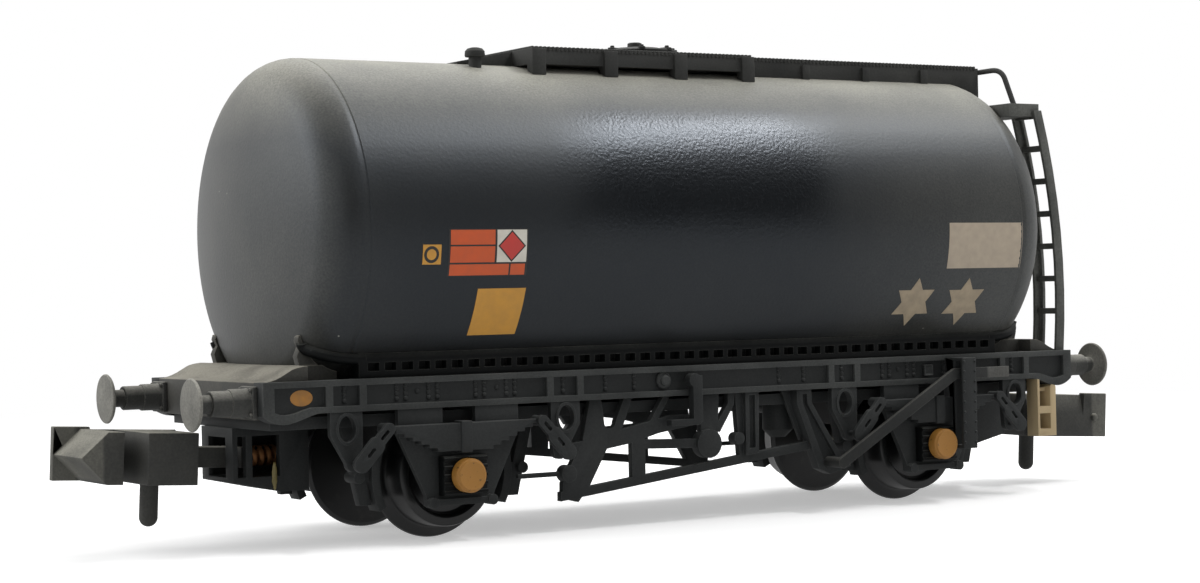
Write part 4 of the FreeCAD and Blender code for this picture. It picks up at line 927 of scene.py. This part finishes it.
# %% Diamond, ring and stars
def standing_grid(x, angle, size):
    deselect()
    bpy.ops.mesh.primitive_grid_add(x_subdivisions=8, y_subdivisions=8, size=size * mm,
                                    location=beside_tank(x, height_at(angle)),
                                    rotation=(math.pi / 2, math.pi / 4, 0))
    return bpy.context.object


def star_sheet(x, angle, radius, points, inner=1, height=1):
    middle = beside_tank(x, height_at(angle))
    deselect()
    bpy.ops.mesh.primitive_circle_add(vertices=points, radius=radius * mm, fill_type="TRIFAN",
                                      location=middle, rotation=(math.pi / 2, 0, 0))
    sheet = bpy.context.object
    edit("DESELECT")
    leave_edit()
    for vertex in sheet.data.vertices:
        turn = round(math.degrees(math.atan2(vertex.co.y, vertex.co.x))) % 60
        vertex.select = vertex.co.length > radius * mm / 2 and turn != 30
    bpy.ops.object.mode_set(mode="EDIT")
    bpy.ops.transform.resize(value=(inner, inner, inner), center_override=middle)
    bpy.ops.mesh.select_all(action="SELECT")
    bpy.ops.mesh.subdivide(number_cuts=5)
    leave_edit()
    sheet.scale.y = height
    return sheet


onto_tank(standing_grid(-13.14, -6.3, 1.14), "diamond_outline", dark_ink, 0.018)
onto_tank(standing_grid(-13.14, -6.3, 1.0), "diamond", red_ink, 0.022)
onto_tank(star_sheet(-17.72, -8.85, 0.42, 24), "ring_outer", dark_ink, 0.018)
onto_tank(star_sheet(-17.72, -8.85, 0.27, 24), "ring_inner", yellow_ink, 0.022)
onto_tank(star_sheet(13.69, -28.8, 1.5, 12, 0.577, 0.9), "star_left", star_ink, 0.014)
onto_tank(star_sheet(17.40, -29.1, 1.5, 12, 0.577, 0.9), "star_right", star_ink, 0.014)
print("Diamond, ring and stars printed")

# %% [markdown]
# One more marking is on the underframe: an amber oval at the left end of the solebar. The web there is
# flat, so a circle is scaled to an oval and given its thickness, with nothing to wrap it onto.

# %% The solebar's oval
deselect()
bpy.ops.mesh.primitive_circle_add(vertices=32, radius=0.6 * mm, fill_type="NGON",
                                  location=Vector((-24.05, web_y - 0.01, 7.62)) * mm,
                                  rotation=(math.pi / 2, 0, 0))
oval_plate = bpy.context.object
oval_plate.scale.y = 0.66
oval_plate.name = "solebar_oval"
bpy.ops.object.transform_apply()
oval_plate.modifiers.new("ink", "SOLIDIFY").thickness = 0.02 * mm
apply_all(oval_plate)
finish_piece(oval_plate, amber_ink, "chassis")
other_side(oval_plate)
print("Oval printed on both solebars")

# %% [markdown]
# The axles, the ballast bar and the handrail's wire have the right shape already. They keep their own
# meshes and only get their finish.

# %% Finishes for what stays
plain_finishes = {"axle_": axle_steel, "ballast": ballast_iron, "handrail": walkway_plastic}
for node, item in frame["nodes"].items():
    if not item.hide_render:
        finish = next(finish for start, finish in plain_finishes.items() if node.startswith(start))
        item.data.materials.clear()
        item.data.materials.append(finish)
        print(node, "keeps its mesh, in", finish.name)

# %% [markdown]
# The world is white where the camera, a reflection or a clear surface sees it, but dimmer as light, so
# the pale background costs the black tank no contrast. Two dark patches stand for what a studio never
# hides from a curved side: the camera and the unlit part of the room. They show only in reflections.

# %% The white room
def white_world():
    world = bpy.data.worlds.new("white_room")
    bpy.context.scene.world = world
    world.use_nodes = True
    add = partial(add_node, world)
    path = add("ShaderNodeLightPath").outputs
    way = add("ShaderNodeTexCoord").outputs["Generated"]
    lit = 1.0
    for middle, spread, near, far in (((0.572, -0.76, 0.22), (2.5, 1, 1), 0.42, 0.60),
                                      ((-0.25, -0.96, 0.1), (1, 1, 0.6), 0.25, 0.6)):
        aside = add("ShaderNodeVectorMath", {0: way, 1: middle}, operation="SUBTRACT")
        wide = add("ShaderNodeVectorMath", {0: aside, 1: spread}, operation="MULTIPLY")
        off = add("ShaderNodeVectorMath", {0: wide}, operation="LENGTH")
        dim = add("ShaderNodeMapRange", {"Value": off, "From Min": near, "From Max": far},
                  interpolation_type="SMOOTHSTEP")
        lit = add("ShaderNodeMath", {0: dim, 1: lit}, operation="MULTIPLY")
    room = add("ShaderNodeMapRange", {"Value": lit, "To Min": -0.95, "To Max": 1})
    mirrored = add("ShaderNodeMath", {0: path["Is Glossy Ray"], 1: room}, operation="MULTIPLY")
    seen = add("ShaderNodeMath", {0: path["Is Camera Ray"], 1: path["Is Transmission Ray"]},
               operation="MAXIMUM")
    total = add("ShaderNodeMath", {0: seen, 1: mirrored}, operation="ADD")
    strength = add("ShaderNodeMapRange", {"Value": total, "To Min": 0.5, "To Max": 1}, clamp=False)
    set_inputs(world, world.node_tree.nodes["Background"], {"Color": (1, 1, 1, 1), "Strength": strength})


white_world()
print("World:", bpy.context.scene.world.name)

# %% [markdown]
# The floor is a plain white sheet. Its colour is lifted for the camera only, so it reads white and
# still keeps the shadow, and further out it fades into the white of the room.

# %% The floor
def white_floor():
    deselect()
    bpy.ops.mesh.primitive_plane_add(size=3, location=(0, 0, 0))
    floor = bpy.context.object
    floor.name = "studio_floor"
    material, add, dress, place = start_material("White paper floor")
    path = add("ShaderNodeLightPath").outputs
    direct = add("ShaderNodeMath", {0: path["Is Camera Ray"], 1: path["Is Transmission Ray"]},
                 operation="MAXIMUM")
    seen = add("ShaderNodeMath", {0: direct, 1: path["Is Glossy Ray"]}, operation="MAXIMUM")
    paper = add("ShaderNodeMix", {"Factor": direct, "A": (0.7, 0.7, 0.7, 1), "B": (1.45, 1.45, 1.45, 1)},
                data_type="RGBA")
    dress({"Base Color": paper, "Roughness": 1, "Specular IOR Level": 0})
    reach = add("ShaderNodeVectorMath", {0: place}, operation="LENGTH")
    far = add("ShaderNodeMapRange", {"Value": reach, "From Min": 60 * mm, "From Max": 150 * mm,
                                     "To Min": 0.4}, interpolation_type="SMOOTHSTEP")
    fade = add("ShaderNodeMath", {0: far, 1: seen}, operation="MULTIPLY")
    white = add("ShaderNodeEmission", {"Strength": 1})
    nodes = material.node_tree.nodes
    blend = add("ShaderNodeMixShader", {0: fade, 1: nodes["Principled BSDF"], 2: white})
    set_inputs(material, nodes["Material Output"], {"Surface": blend})
    floor.data.materials.append(material)


white_floor()
print("Floor laid")

# %% [markdown]
# Three soft lamps light the wagon, each aimed at its middle. A long strip to the right makes the narrow
# highlight along the tank's shoulder. One softbox behind lights the crown, and one behind the left end
# brightens the rim of the dished end.

# %% Lamps
def soft_lamp(name, place, target_height, size, power):
    data = bpy.data.lights.new(name, "AREA")
    data.shape = "RECTANGLE"
    data.size, data.size_y = size
    data.energy = power
    lamp = add_object(name, data)
    lamp.location = place
    look = Vector((0, 0, target_height)) - Vector(place)
    lamp.rotation_euler = look.to_track_quat("-Z", "Y").to_euler()


soft_lamp("key_strip", (0.224, -0.088, 0.336), 0.016, (0.22, 0.03), 0.75)
soft_lamp("back_softbox", (0.12, 0.22, 0.36), 0.01, (0.30, 0.30), 0.6)
soft_lamp("left_softbox", (-0.30, 0.16, 0.2), 0.015, (0.25, 0.25), 0.72)
bpy.context.scene.view_settings.view_transform = "Standard"
print("Lamps:", len(bpy.data.lights))
